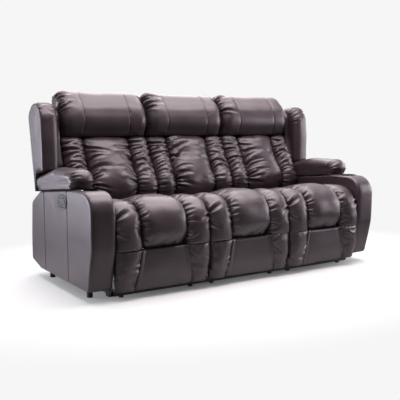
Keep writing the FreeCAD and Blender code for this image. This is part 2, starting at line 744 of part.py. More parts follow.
def lumbar_section(drawn):
    """Side outline of the lower back cushion."""
    seat = SHELL_THICK + BACK_TUBE + SOFT_FIT
    top = LUMBAR_TOP_Z - drawn / 2
    return [(LUMBAR_FRONT_Y + 28 + drawn, LUMBAR_BOTTOM_Z, 16),
            (LUMBAR_FRONT_Y + drawn, LUMBAR_BOTTOM_Z + 42, 60),
            (LUMBAR_TOP_Y + drawn, top, 34),
            (rear_y(top) - seat, top),
            (rear_y(LUMBAR_BOTTOM_Z) - seat, LUMBAR_BOTTOM_Z)]


def lumbar():
    return crowned(lumbar_section, channelled(HALF_SEAT, BACK_CHANNEL_X, 20, 4, 22))


def head_outline():
    """Side outline of the head pillow, which rests on the back's frame and shell."""
    low = HEAD_BOTTOM_Z
    top = HEAD_TOP_Z
    return [(HEAD_FRONT_Y + 32, low, 30), (HEAD_FRONT_Y, low + 78, 70),
            (HEAD_FRONT_Y + 32, top - 58, 80), (HEAD_FRONT_Y + 108, top, 70),
            (HEAD_REAR_Y - 62, top, 70), (HEAD_REAR_Y, low + 140, 80),
            (rear_y(low) - 2, low, 20)]


def head_pillow():
    """Stuffed pillow: its side, top and front outlines, all with rounded corners."""
    half = HEAD_HALF
    front, rear = HEAD_FRONT_Y - 12, HEAD_REAR_Y + 12
    low, top = HEAD_BOTTOM_Z, HEAD_TOP_Z
    body = slab(head_outline(), -half, half)
    above = prism([(-half, front, HEAD_CROWN), (half, front, HEAD_CROWN),
                   (half, rear, HEAD_CROWN), (-half, rear, HEAD_CROWN)],
                  at_z(low), Vector(0, 0, top - low))
    ahead = [(half - 12, low - 10), (half, low + 70, HEAD_CROWN),
             (half - 4, top - 80, HEAD_CROWN), (half - 40, top + 1, HEAD_CROWN)]
    ahead += [(-corner[0],) + corner[1:] for corner in reversed(ahead)]
    before = prism(ahead, at_y(front), Vector(0, rear - front, 0))
    return body.common(above).common(before)


def wing_foot():
    """Lower edge of a wing, above and behind the arm pad, as (y, z, radius)."""
    step_y = ARM_PAD_REAR_Y + WING_CLEAR
    return [(WING_REAR_Y - 82, WING_LOW_Z, 8), (step_y, WING_LOW_Z + 2, 5),
            (step_y, pad_top(step_y) + WING_CLEAR, 5),
            (WING_FRONT_Y, pad_top(WING_FRONT_Y) + WING_CLEAR, 12)]


def wing_outline():
    """Outer side outline of a wing."""
    front, rear, top = WING_FRONT_Y, WING_REAR_Y, WING_TOP_Z
    return wing_foot() + [(front + 2, top - 200), (front + 15, top - 55, 60),
                          (front + 60, top - 4, 50), (front + 150, top, 60),
                          (rear, top - 62, 40), (rear - 27, top - 200), (rear - 60, top - 378)]


def filler_outline():
    """Side outline of the wing's inner part, which continues the back cushion."""
    step_y = ARM_PAD_REAR_Y
    front = LUMBAR_FRONT_Y + 92
    foot = pad_top(front) + WING_CLEAR + 2
    high = HEAD_TOP_Z - 92
    rear = SHELL_THICK + 8
    return [(step_y, foot), (front, foot, 20), (LUMBAR_TOP_Y - 6, LUMBAR_TOP_Z - 14),
            (LUMBAR_TOP_Y - 4, high - 48, 60), (LUMBAR_TOP_Y + 64, high, 60),
            (rear_y(high) - 50, high - 8, 40), (rear_y(foot) - rear, foot)]


def wing():
    """Right wing: a thick padded ear outside and a filler beside the back cushion."""
    ear_in = WING_OUTER - WING_THICK
    ear = slab(wing_outline(), ear_in, WING_OUTER)
    lowest = WING_LOW_Z - 10
    highest = WING_TOP_Z + 10
    edge = WING_THICK * 0.4
    above = prism([(ear_in, WING_FRONT_Y, edge), (WING_OUTER, WING_FRONT_Y, edge),
                   (WING_OUTER, WING_REAR_Y, edge / 3), (ear_in, WING_REAR_Y)],
                  at_z(lowest), Vector(0, 0, highest - lowest))
    before = prism([(ear_in, lowest), (WING_OUTER - 3, lowest), (WING_OUTER, highest - 150),
                    (WING_OUTER - 3, WING_TOP_Z - 1, edge), (ear_in, WING_TOP_Z - 1, edge)],
                   at_y(WING_FRONT_Y - 10), Vector(0, WING_REAR_Y - WING_FRONT_Y + 20, 0))
    start = ARM_INNER + SEAT_GAP + 1
    filler = slab(filler_outline(), start, ear_in + 14)
    return join([ear.common(above).common(before), filler])


# Arms

def pad_top(y):
    """Height of the rear slope of the arm pad's top."""
    return ARM_PAD_TOP_Z - (y - ARM_PAD_BEND_Y) * ARM_PAD_SLOPE


def arm_outline():
    return [(ARM_FRONT_Y + 50, ARM_BOTTOM_Z, 25), (ARM_FRONT_Y + 2, 260, 200),
            (ARM_FRONT_Y, ARM_TOP_Z, ARM_FRONT_ROUND), (-200, ARM_TOP_Z),
            (250, 490, 60), (ARM_REAR_Y - 29, 415, 25), (ARM_REAR_Y - 4, 251),
            (ARM_REAR_Y, 82, 20), (300, ARM_BOTTOM_Z)]


def arm_cover():
    """Upholstered shell of the right arm, open underneath."""
    stations = ((ARM_INNER, 5), (ARM_INNER + 7, 0), (ARM_OUTER - 16, 0),
                (ARM_OUTER - 5, 4), (ARM_OUTER, 11))
    shell = loft([outline(inset(arm_outline(), drawn), at_x(x)) for x, drawn in stations])
    room = inset(arm_outline(), ARM_SKIN)
    cavity = slab(room, ARM_INNER + ARM_SKIN, ARM_OUTER - ARM_SKIN)
    mouth = box(ARM_INNER + ARM_SKIN, ARM_OUTER - ARM_SKIN, ARM_FRONT_Y + 70,
                ARM_REAR_Y - 130, ARM_BOTTOM_Z - 5, ARM_BOTTOM_Z + 30)
    shell = shell.cut(cavity).cut(mouth)
    shell = shell.cut(rod_z(ARM_MID, CUP_Y, CUP_RADIUS, ARM_TOP_Z - 40, ARM_TOP_Z + 5))
    return shell.cut(switch_box(0))


def arm_frame():
    """Timber ring inside the arm with its two legs."""
    x0 = ARM_MID - ARM_FRAME_THICK / 2
    x1 = ARM_MID + ARM_FRAME_THICK / 2
    ring = slab(inset(arm_outline(), ARM_SKIN), x0, x1)
    ring = ring.cut(slab(inset(arm_outline(), ARM_SKIN + ARM_FRAME_DEEP), x0 - 1, x1 + 1))
    ring = ring.cut(rod_z(ARM_MID, CUP_Y, CUP_RADIUS, ARM_TOP_Z - CUP_DEEP, ARM_TOP_Z))
    legs = []
    for y in ARM_LEGS_Y:
        legs.append(rod_z(ARM_MID, y, ARM_LEG_RADIUS, 0, ARM_BOTTOM_Z + ARM_SKIN + 10))
    return join([ring] + legs)


def arm_pad():
    """Stuffed pad on the arm behind the cup holder, drawn in along its seams."""
    slope = (ARM_TOP_Z - 490) / 450
    front, rear, top = ARM_PAD_FRONT_Y, ARM_PAD_REAR_Y, ARM_PAD_TOP_Z
    side = [(front, ARM_TOP_Z + SOFT_FIT), (front - 12, ARM_TOP_Z + 36),
            (front + 31, top, 45), (ARM_PAD_BEND_Y, top), (rear, pad_top(rear), 22),
            (rear - 6, 522),
            (248, 490 + 2 * slope + SOFT_FIT), (-200, ARM_TOP_Z + SOFT_FIT)]
    wide = ARM_WIDTH / 2 - 2
    body = slab(side, ARM_MID - wide, ARM_MID + wide)
    above = prism([(ARM_MID - wide, front - 14, 34), (ARM_MID + wide, front - 14, 34),
                   (ARM_MID + wide, rear + 2, 12), (ARM_MID - wide, rear + 2, 12)],
                  at_z(480), Vector(0, 0, top - 470))
    return body.common(above).common(pad_front(wide))


def pad_front(wide):
    """Front outline of the arm pad, crowned across the arm and falling to the rear."""
    top = ARM_PAD_TOP_Z + 1
    corners = [(ARM_MID - wide, top - 190), (ARM_MID + wide, top - 190),
               (ARM_MID + wide, top, 44), (ARM_MID - wide, top, 44)]
    level = prism(corners, at_y(ARM_PAD_FRONT_Y - 20),
                  Vector(0, ARM_PAD_BEND_Y - ARM_PAD_FRONT_Y + 20, 0))
    falling = prism(corners, at_y(ARM_PAD_BEND_Y),
                    Vector(0, ARM_PAD_REAR_Y - ARM_PAD_BEND_Y + 40, 0))
    falling.rotate(Vector(0, ARM_PAD_BEND_Y, top), Vector(1, 0, 0),
                   -math.degrees(math.atan(ARM_PAD_SLOPE)))
    return level.fuse(falling)


def cup_holder():
    """Thin cup with a flat rim, turned about its axis."""
    low = ARM_TOP_Z + CUP_RIM_THICK - CUP_DEEP
    top = ARM_TOP_Z + CUP_RIM_THICK
    inner = CUP_RADIUS - CUP_WALL
    profile = [(0, low), (CUP_RADIUS, low), (CUP_RADIUS, ARM_TOP_Z),
               (CUP_RIM_RADIUS, ARM_TOP_Z), (CUP_RIM_RADIUS, top), (inner, top),
               (inner, low + CUP_WALL), (0, low + CUP_WALL)]
    face = Part.Face(outline(profile, at_y(0)))
    cup = face.revolve(Vector(0, 0, 0), Vector(0, 0, 1), 360)
    return cup.translated(Vector(ARM_MID, CUP_Y, 0))


# Switches

def switch_box(extra):
    """Block of the switch housing behind the bezel, grown by extra on its sides."""
    long = BUTTON_STEP + BUTTON_LONG + 6 + extra
    high = BUTTON_HIGH + 6 + extra
    return box(ARM_OUTER - SWITCH_BOX_DEEP, ARM_OUTER, SWITCH_Y + BUTTON_SHIFT - long / 2,
               SWITCH_Y + BUTTON_SHIFT + long / 2, SWITCH_Z - high / 2, SWITCH_Z + high / 2)


def button_outline(number, grown):
    """Outline of one button with its corners cut off, front one first."""
    y = SWITCH_Y + BUTTON_SHIFT + (number - 0.5) * BUTTON_STEP
    long = BUTTON_LONG / 2 + grown
    high = BUTTON_HIGH / 2 + grown
    z = SWITCH_Z
    cut = BUTTON_CORNER
    return [(y - long + cut, z - high), (y + long - cut, z - high), (y + long, z - high + cut),
            (y + long, z + high - cut), (y + long - cut, z + high), (y - long + cut, z + high),
            (y - long, z + high - cut), (y - long, z - high + cut)]


def switch_bezel():
    """Oval plate on the right arm with the wells of its two buttons."""
    ellipse = Part.Ellipse(Vector(0, 0, 0), SWITCH_LONG / 2, SWITCH_HIGH / 2)
    disc = Part.Face(Part.Wire(ellipse.toShape())).extrude(Vector(0, 0, SWITCH_THICK))
    disc.rotate(Vector(0, 0, 0), Vector(0, 0, 1), 90)
    disc.rotate(Vector(0, 0, 0), Vector(0, 1, 0), 90)
    disc.translate(Vector(ARM_OUTER, SWITCH_Y, SWITCH_Z))
    body = disc.fuse(switch_box(-0.2))
    for number in (0, 1):
        well = slab(button_outline(number, BUTTON_FIT),
                    ARM_OUTER - SWITCH_BOX_DEEP + SWITCH_BOX_WALL, ARM_OUTER + SWITCH_THICK + 1)
        body = body.cut(well)
    return body.removeSplitter()


def button(number):
    """Push button that slides in its well."""
    x1 = ARM_OUTER + SWITCH_THICK + BUTTON_RAISED
    x0 = ARM_OUTER - SWITCH_BOX_DEEP / 2
    return slab(button_outline(number, 0), x0, x1)


export("base_rails", base_rails())
export("base_feet", base_feet())

for name, x in (("l", -SEAT_PITCH), ("c", 0.0), ("r", SEAT_PITCH)):
    lowest = RAIL_TOP if name == "c" else SEAT_RAIL_TOP
    export("seat_frame_" + name, moved(seat_rails(lowest), x))
    export("seat_webbing_" + name, moved(webbing(), x))
    export("seat_cushion_" + name, moved(seat_cushion(), x))
    export("lumbar_cushion_" + name, moved(lumbar(), x))
    export("head_pillow_" + name, moved(head_pillow(), x))
    export("back_shell_" + name, moved(back_shell(), x))
    wing_side = END_SEATS.get(name, 0)
    export("back_frame_" + name, moved(back_frame(name != "c", wing_side), x))

export("front_board_c", fixed_board())
export("front_pad_c", lower_pad())

for name, side in END_SEATS.items():
    x = side * SEAT_PITCH
    export("mechanism_plates_" + name, moved(mechanism_plates(), x))
    export("drive_links_" + name, moved(drive_links(), x))
    export("carrier_links_" + name, moved(carrier_link(), x))
    export("rear_helpers_" + name, moved(rear_helper(), x))
    export("front_helpers_" + name, moved(front_helper(), x))
    export("footrest_pan_" + name, moved(footrest_pan(), x))
    export("footrest_pad_" + name, moved(lower_pad(), x))
    export("drive_body_" + name, moved(drive_body(), x))
    export("push_rod_" + name, moved(push_rod(), x))
    pieces = {"wing": wing(), "arm_cover": arm_cover(), "arm_frame": arm_frame(),
              "arm_pad": arm_pad(), "cup_holder": cup_holder(),
              "switch_bezel": switch_bezel(), "button_open": button(0),
              "button_close": button(1)}
    for piece, shape in pieces.items():
        export(piece + "_" + name, shape if side > 0 else mirrored(shape))
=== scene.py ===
import json
import math

import bmesh
import bpy
import numpy as np
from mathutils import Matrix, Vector, noise


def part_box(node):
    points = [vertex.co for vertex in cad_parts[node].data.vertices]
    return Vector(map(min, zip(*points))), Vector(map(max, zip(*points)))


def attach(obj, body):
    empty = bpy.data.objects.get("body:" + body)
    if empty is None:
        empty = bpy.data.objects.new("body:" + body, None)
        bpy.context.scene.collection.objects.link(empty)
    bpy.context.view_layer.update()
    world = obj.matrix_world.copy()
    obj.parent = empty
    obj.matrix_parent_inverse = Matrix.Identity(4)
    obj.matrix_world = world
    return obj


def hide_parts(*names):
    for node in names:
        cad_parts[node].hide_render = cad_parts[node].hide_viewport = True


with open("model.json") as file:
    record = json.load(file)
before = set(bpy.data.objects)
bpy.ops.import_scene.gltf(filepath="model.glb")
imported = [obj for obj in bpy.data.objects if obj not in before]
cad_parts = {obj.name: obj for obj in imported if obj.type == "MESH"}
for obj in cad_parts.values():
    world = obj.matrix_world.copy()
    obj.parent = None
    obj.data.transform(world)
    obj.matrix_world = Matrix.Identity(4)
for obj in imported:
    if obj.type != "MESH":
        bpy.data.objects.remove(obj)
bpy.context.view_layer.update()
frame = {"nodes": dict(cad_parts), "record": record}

# Three-seat reclining sofa with wings. Metres, Z up, the front faces -Y.
# The soft pieces are lofts along X through side outlines, drawn in at their seams and gathered
# by folds. Sizes that repeat the frame's are read from its boxes.

SEATS = {"l": -1, "c": 0, "r": 1}
ENDS = {"l": -1, "r": 1}
SEAT_PITCH = 0.54
ARM_INNER = 0.81
ARM_OUTER = 0.937
ARM_MID = (ARM_INNER + ARM_OUTER) / 2
REAR_SLOPE = 0.19
REAR_FOOT = (0.293, 0.265)
SEAT_CHANNEL = 0.128
BACK_CHANNEL = 0.140
PAD_SEAM = 0.131
PAD_SEAM_FLARE = 0.038
MESH_GAP = 0.007

# Cloth pass: how it runs, how the leather behaves, and how much spare leather a piece has.
CLOTH_QUALITY = 4
CLOTH_STEPS = 16
CLOTH_CAP = 0.022
LEATHER_MASS = 0.15
LEATHER_STRETCH = 14
LEATHER_SHEAR = 5
LEATHER_BEND = 0.12
STUFFING_PRESSURE = 4
SPARE_SEAT = 0.03
SPARE_FRONT_PAD = 0.035
SPARE_LUMBAR = 0.035
SPARE_PILLOW = 0.012
STUFFED = []

# Arms
CUP_RADIUS = 0.0424
CUP_PLACE = (-0.29, 0.53)
CUP_DEPTH = 0.14
SWITCH_PLACE = (0.935, -0.097, 0.462)
SWITCH_HOLE = (0.04, 0.056, 0.036)
ARM_SEAMS = (("front", -0.141, 0.5325), ("rear", 0.186, 0.494))
ARM_SEAM_FOOT = 0.012
ARM_SEAM_RADIUS = 0.0016
ARM_SEAM_STEPS = 12

# Lamps: name, place, aim, size, power, colour
LAMPS = (
    ("top", (0.3, 0.7, 2.9), (0.3, 0.7, 0.4), (3.8, 3.6), 180, (1.0, 0.915, 0.945)),
    ("front_top", (0.2, -0.85, 2.8), (0.2, -0.85, 0.4), (3.6, 0.7), 62, (1.0, 0.92, 0.95)),
    ("rear", (1.5, 4.2, 3.7), (0, 0, 0.7), (5.0, 1.6), 102, (1.0, 0.92, 0.95)),
    ("left_rear", (-3.7, 2.2, 0.5), (-0.9, 0, 0.35), (2.4, 1.1), 138, (0.87, 0.86, 1.0)),
    ("left", (-3.6, -1.8, 1.4), (-0.8, 0, 0.5), (2.0, 2.0), 5, (0.95, 0.91, 1.0)),
    ("right", (3.8, 0.2, 1.3), (0, 0, 0.6), (2.0, 1.8), 50, (0.90, 0.92, 1.0)),
    ("right_front", (3.4, -1.7, 1.1), (0.9, -0.3, 0.4), (1.6, 1.6), 66, (1.0, 0.92, 1.0)),
)

# Camera, fitted to the photograph
CAMERA_PLACE = (-2.121, -3.160, 0.846)
CAMERA_AZIMUTH = -33.2
CAMERA_FALL = 6.63
CAMERA_FOCAL = 643.98
CAMERA_SIDE = 400
SENSOR_WIDTH = 36.0

# Floor and background
BACKGROUND = 0.92
FLOOR_LIFT = 0.07
FLOOR_COLOUR = (0.60, 0.613, 0.607)
FLOOR_FADE = (0.45, 1.55)
FLOOR_GLOW = 0.12


def rear_y(z):
    """Rear surface of a back at a height."""
    return REAR_FOOT[0] + (z - REAR_FOOT[1]) * REAR_SLOPE


def body_name(part, seat):
    return "base" if seat == "c" else part + "_" + seat


# Outlines

def unit(v):
    return v / max(np.linalg.norm(v), 1e-12)


def rounded(corners, gap, counts=None):
    """Points round a closed outline of (u, v, radius) corners, evenly spaced."""
    sides = len(corners)
    arcs = []
    for i in range(sides):
        here = np.array(corners[i][:2])
        radius = corners[i][2] if len(corners[i]) > 2 else 0.0
        back = np.array(corners[i - 1][:2]) - here
        ahead = np.array(corners[(i + 1) % sides][:2]) - here
        long_back, long_ahead = np.linalg.norm(back), np.linalg.norm(ahead)
        back, ahead = back / long_back, ahead / long_ahead
        half = math.acos(np.clip(back @ ahead, -1, 1)) / 2
        run = min(radius / math.tan(half), 0.47 * min(long_back, long_ahead))
        radius = run * math.tan(half)
        centre = here + unit(back + ahead) * radius / math.sin(half)
        arcs.append((here + back * run, here + ahead * run, centre, math.pi - 2 * half, radius))
    if counts is None:
        counts = []
        for i in range(sides):
            first, last, centre, sweep, radius = arcs[i]
            straight = np.linalg.norm(arcs[(i + 1) % sides][0] - last)
            turns = max(2, round(sweep * radius / gap)) if radius > 1e-6 else 0
            counts.append((turns, max(1, round(straight / gap))))
    points = []
    for i in range(sides):
        first, last, centre, sweep, radius = arcs[i]
        turns, steps = counts[i]
        for k in range(turns):
            t = k / turns
            blend = math.sin((1 - t) * sweep) * (first - centre)
            blend = blend + math.sin(t * sweep) * (last - centre)
            points.append(centre + blend / math.sin(sweep))
        following = arcs[(i + 1) % sides][0]
        for k in range(steps):
            points.append(last + (following - last) * k / steps)
    return np.array(points), counts


def offset(corners, depths):
    """The same outline with each side moved inwards by its own depth."""
    spots = np.array([corner[:2] for corner in corners])
    sides = len(spots)
    ahead = np.roll(spots, -1, axis=0)
    turn = 1 if np.sum(spots[:, 0] * ahead[:, 1] - spots[:, 1] * ahead[:, 0]) > 0 else -1
    result = []
    for i in range(sides):
        before = unit(spots[i] - spots[i - 1])
        after = unit(ahead[i] - spots[i])
        normals = turn * np.array([[-before[1], before[0]], [-after[1], after[0]]])
        bend = before[0] * after[1] - before[1] * after[0]
        if abs(bend) < 1e-6:
            spot = spots[i] + normals[1] * depths[i]
        else:
            reach = normals @ spots[i] + np.array([depths[i - 1], depths[i]])
            spot = np.linalg.solve(normals, reach)
        radius = corners[i][2] if len(corners[i]) > 2 else 0.0
        mean = (depths[i - 1] + depths[i]) / 2
        if radius:
            radius = max(radius - mean, 0.004) if bend * turn > 0 else radius + mean
        result.append((spot[0], spot[1], radius))
    return result


# Lofted soft forms

def stations(edges, counts):
    """Places along X, closer together at the panels' edges."""
    places = [edges[0]]
    for low, high, count in zip(edges, edges[1:], counts):
        for k in range(1, count + 1):
            places.append((low + high) / 2 - (high - low) / 2 * math.cos(math.pi * k / count))
    return np.array(places)


def rolls(places, edges, shares, powers):
    """How far each station is drawn in, 0 to 1, for stuffed rolls between sewn edges."""
    result = np.zeros(len(places))
    for i, x in enumerate(places):
        k = min(max(np.searchsorted(edges, x) - 1, 0), len(edges) - 2)
        u = (2 * x - edges[k] - edges[k + 1]) / (edges[k + 1] - edges[k])
        height = math.sqrt(max(0.0, 1 - min(abs(u), 1.0) ** powers[k]))
        result[i] = (1 - height) * (shares[k] if u < 0 else shares[k + 1])
    return result


class Form:
    """A grid of points: one closed ring per station along X.

    The rings follow the first outline, or the second where mix is 1."""

    def __init__(self, outlines, depths, places, drawn, mix=None, fade=None, gap=MESH_GAP):
        outer, counts = rounded(outlines[0], gap)
        sets = []
        for corners in outlines:
            line = rounded(corners, gap, counts)[0]
            sets.append((line, rounded(offset(corners, depths), gap, counts)[0]))
        shares = np.zeros(len(places)) if mix is None else np.asarray(mix)
        shares = shares[:, None, None]
        line = sets[0][0] * (1 - shares) + sets[-1][0] * shares
        inner = sets[0][1] * (1 - shares) + sets[-1][1] * shares
        depth = np.repeat(drawn[:, None], len(outer), 1)
        if fade is not None:
            depth = depth * fade(np.asarray(places)[:, None], line[..., 0], line[..., 1])
        ring = line + (inner - line) * depth[..., None]
        self.x = np.array(places)
        across = np.repeat(self.x[:, None], len(outer), 1)
        self.points = np.dstack([across, ring[..., 0], ring[..., 1]])
        steps = np.linalg.norm(np.roll(outer, -1, axis=0) - outer, axis=1)
        self.s = np.concatenate([[0], np.cumsum(steps)[:-1]])
        self.outer = outer
        self.hold = None
        self.spare = 0.0

    def normals(self):
        along = np.gradient(self.points, axis=0)
        around = np.roll(self.points, -1, axis=1) - np.roll(self.points, 1, axis=1)
        normal = np.cross(along, around)
        normal /= np.maximum(np.linalg.norm(normal, axis=2, keepdims=True), 1e-12)
        middle = self.points.mean(axis=(0, 1))
        if np.sum(normal * (self.points - middle)) < 0:
            normal = -normal
        return normal

    def raise_by(self, height):
        self.points += self.normals() * height[..., None]

    def s_at(self, y, z):
        """Place round the ring that is nearest to a spot in the side view."""
        return self.s[np.argmin(np.hypot(self.outer[:, 0] - y, self.outer[:, 1] - z))]

    def fold(self, x0, s0, run, rise, width, depth, fading=1.2, bow=0.0):
        """One crease that starts at a seam and fades along X, with soft ridges beside it."""
        total = self.s[-1] + (self.s[1] - self.s[0])
        t = (self.x[:, None] - x0) / run
        middle = s0 + rise * t + bow * t * (1 - t)
        gap = (self.s[None] - middle + total / 2) % total - total / 2
        q = gap / (width * (0.7 + 0.6 * np.clip(t, 0, 1)))
        shape = -np.exp(-1.2 * np.abs(q) ** 1.3)
        shape = shape + 0.5 * np.exp(-(q - 1.7) ** 2) + 0.35 * np.exp(-(q + 1.7) ** 2)
        start = np.clip(8 * t + 0.35, 0, 1)
        strength = np.where((t >= 0) & (t < 1), start * np.clip(1 - t, 0, 1) ** fading, 0)
        return depth * strength * shape

    def gathers(self, seed, x0, direction, low, high, spacing, length, width, depth, rise=0.01,
                fading=1.2):
        """A row of folds along a seam at x0, from low to high round the ring."""
        pick = np.random.RandomState(seed)
        height = np.zeros(self.points.shape[:2])
        at = low + spacing * pick.uniform(0.2, 0.8)
        while at < high:
            height += self.fold(x0, at, direction * length * pick.uniform(0.55, 1.4),
                                rise * pick.uniform(-1.5, 1.5), width * pick.uniform(0.7, 1.35),
                                depth * pick.uniform(0.45, 1.35), fading,
                                0.01 * pick.uniform(-1, 1))
            at += spacing * pick.uniform(0.6, 1.5)
        return height

    def slack(self, seed, size, depth):
        """Broad uneven swelling of stuffed leather."""
        height = np.zeros(self.points.shape[:2])
        for i, ring in enumerate(self.points):
            for k, spot in enumerate(ring):
                height[i, k] = noise.noise(Vector(spot / size) + Vector((seed, 2 * seed, 0)))
        return depth * height

    def hold_where(self, test, edges, spare):
        """Marks the points that the sewing or the frame holds still, for the cloth pass."""
        self.spare = spare
        self.hold = test(self.points[..., 1], self.points[..., 2]).astype(float)
        for edge in edges:
            self.hold[np.abs(self.x - edge) < 0.0005] = 1.0

    def mesh(self, name, centre_x):
        rows, count = self.points.shape[:2]
        self.points[..., 0] = np.clip(self.points[..., 0], self.x.min(), self.x.max())
        verts = self.points.reshape(-1, 3).tolist()
        faces = []
        for i in range(rows - 1):
            for k in range(count):
                m = (k + 1) % count
                here, above = i * count, (i + 1) * count
                faces.append((here + k, here + m, above + m, above + k))
        for row in (0, rows - 1):
            ring = self.points[row]
            middle = ring.mean(axis=0)
            last = [row * count + k for k in range(count)]
            for share in (0.8, 0.5, 0.2):
                start = len(verts)
                verts += (middle + (ring - middle) * share).tolist()
                for k in range(count):
                    m = (k + 1) % count
                    faces.append((last[k], last[m], start + m, start + k))
                last = [start + k for k in range(count)]
            faces.append(tuple(last))
        data = bpy.data.meshes.new(name)
        data.from_pydata([(x + centre_x, y, z) for x, y, z in verts], [], faces)
        piece = bpy.data.objects.new(name, data)
        bpy.context.scene.collection.objects.link(piece)
        shape = bmesh.new()
        shape.from_mesh(data)
        bmesh.ops.recalc_face_normals(shape, faces=shape.faces)
        shape.to_mesh(data)
        shape.free()
        data.shade_smooth()
        if self.hold is not None:
            group = piece.vertex_groups.new(name="hold")
            weights = np.ones(len(verts))
            weights[:rows * count] = self.hold.ravel()
            group.add(np.flatnonzero(weights > 0.5).tolist(), 1.0, "REPLACE")
            STUFFED.append((piece, self.spare))
        return piece


def soften(pieces):
    """Cloth pass: spare leather presses out between the seams that hold it, and buckles."""
    for piece, spare in pieces:
        settings = piece.modifiers.new("cloth", "CLOTH").settings
        settings.quality = CLOTH_QUALITY
        settings.mass = LEATHER_MASS
        settings.tension_stiffness = LEATHER_STRETCH
        settings.compression_stiffness = LEATHER_STRETCH
        settings.shear_stiffness = LEATHER_SHEAR
        settings.bending_stiffness = LEATHER_BEND
        settings.use_pressure = True
        settings.uniform_pressure_force = STUFFING_PRESSURE
        settings.shrink_min = -spare
        settings.effector_weights.gravity = 0
        settings.vertex_group_mass = "hold"
    scene = bpy.context.scene
    for step in range(1, CLOTH_STEPS + 1):
        scene.frame_set(step)
    graph = bpy.context.evaluated_depsgraph_get()
    for piece, _ in pieces:
        count = len(piece.data.vertices)
        rest, moved = np.zeros(count * 3), np.zeros(count * 3)
        piece.data.vertices.foreach_get("co", rest)
        piece.evaluated_get(graph).data.vertices.foreach_get("co", moved)
        rest, shift = rest.reshape(-1, 3), (moved - rest).reshape(-1, 3)
        length = np.maximum(np.linalg.norm(shift, axis=1, keepdims=True), 1e-9)
        shift *= CLOTH_CAP * np.tanh(length / CLOTH_CAP) / length
        soft = rest + shift
        soft[:, 0] = np.clip(soft[:, 0], rest[:, 0].min(), rest[:, 0].max())
        piece.modifiers.clear()
        piece.data.vertices.foreach_set("co", soft.ravel())
        piece.data.update()
        piece.vertex_groups.clear()
    scene.frame_set(1)


def dress(piece, body, nodes, material):
    """Body, replaced nodes and material of one piece."""
    piece.data.materials.clear()
    piece.data.materials.append(material)
    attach(piece, body)
    if nodes:
        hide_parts(*nodes)


# Materials

def new_material(name, colour, roughness, metallic=0.0):
    material = bpy.data.materials.new(name)
    material.use_nodes = True
    shader = material.node_tree.nodes["Principled BSDF"]
    shader.inputs["Base Color"].default_value = (*colour, 1)
    shader.inputs["Roughness"].default_value = roughness
    shader.inputs["Metallic"].default_value = metallic
    return material, material.node_tree, shader


def wired(tree, kind, inputs):
    node = tree.nodes.new(kind)
    for name, value in inputs.items():
        if isinstance(value, bpy.types.NodeSocket):
            tree.links.new(value, node.inputs[name])
        else:
            node.inputs[name].default_value = value
    return node


def mottled(tree, shader, place, colour, scale, spread):
    """Base colour that wanders a little between a darker and a lighter tone."""
    cloud = wired(tree, "ShaderNodeTexNoise", {"Vector": place, "Scale": scale, "Detail": 4.0})
    ramp = tree.nodes.new("ShaderNodeValToRGB")
    ramp.color_ramp.elements[0].position = 0.3
    ramp.color_ramp.elements[1].position = 0.72
    ramp.color_ramp.elements[0].color = (*[c * (1 - spread) for c in colour], 1)
    ramp.color_ramp.elements[1].color = (*[c * (1 + spread) for c in colour], 1)
    tree.links.new(cloud.outputs["Fac"], ramp.inputs["Fac"])
    tree.links.new(ramp.outputs["Color"], shader.inputs["Base Color"])
    return cloud


def leather_material(name, colour, roughness):
    """Coated leather: pebbled grain, fine creases and slightly uneven gloss."""
    material, tree, shader = new_material(name, colour, roughness)
    place = tree.nodes.new("ShaderNodeTexCoord").outputs["Object"]
    cloud = mottled(tree, shader, place, colour, 9.0, 0.16)
    pebble = wired(tree, "ShaderNodeTexVoronoi", {"Vector": place, "Scale": 520.0})
    pebble.feature = "DISTANCE_TO_EDGE"
    pores = wired(tree, "ShaderNodeTexNoise", {"Vector": place, "Scale": 900.0, "Detail": 2.0})
    crease = wired(tree, "ShaderNodeTexNoise",
                   {"Vector": place, "Scale": 38.0, "Detail": 6.0, "Distortion": 0.8})
    grain = wired(tree, "ShaderNodeMath", {0: pebble.outputs["Distance"], 1: pores.outputs["Fac"]})
    grain.operation = "MULTIPLY"
    fine = wired(tree, "ShaderNodeBump", {"Height": grain.outputs[0], "Strength": 0.25,
                                          "Distance": 0.0008})
    broad = wired(tree, "ShaderNodeBump", {"Height": crease.outputs["Fac"], "Strength": 0.35,
                                           "Distance": 0.0016, "Normal": fine.outputs["Normal"]})
    tree.links.new(broad.outputs["Normal"], shader.inputs["Normal"])
    gloss = wired(tree, "ShaderNodeMapRange",
                  {"Value": cloud.outputs["Fac"], "To Min": roughness - 0.05,
                   "To Max": roughness + 0.07})
    tree.links.new(gloss.outputs["Result"], shader.inputs["Roughness"])
    shader.inputs["Specular IOR Level"].default_value = 0.55
    shader.inputs["Specular Tint"].default_value = (1.0, 0.92, 0.96, 1)
    shader.inputs["Coat Weight"].default_value = 0.12
    shader.inputs["Coat Roughness"].default_value = 0.35
    return material


def hard_material(name, colour, roughness, metallic=0.0, grain=300.0, depth=0.0003, spread=0.1):
    """Coated metal or plastic with a fine texture."""
    material, tree, shader = new_material(name, colour, roughness, metallic)
    place = tree.nodes.new("ShaderNodeTexCoord").outputs["Object"]
    mottled(tree, shader, place, colour, 25.0, spread)
    speck = wired(tree, "ShaderNodeTexNoise", {"Vector": place, "Scale": grain, "Detail": 3.0})
    bump = wired(tree, "ShaderNodeBump", {"Height": speck.outputs["Fac"], "Strength": 0.3,
                                          "Distance": depth})
    tree.links.new(bump.outputs["Normal"], shader.inputs["Normal"])
    return material


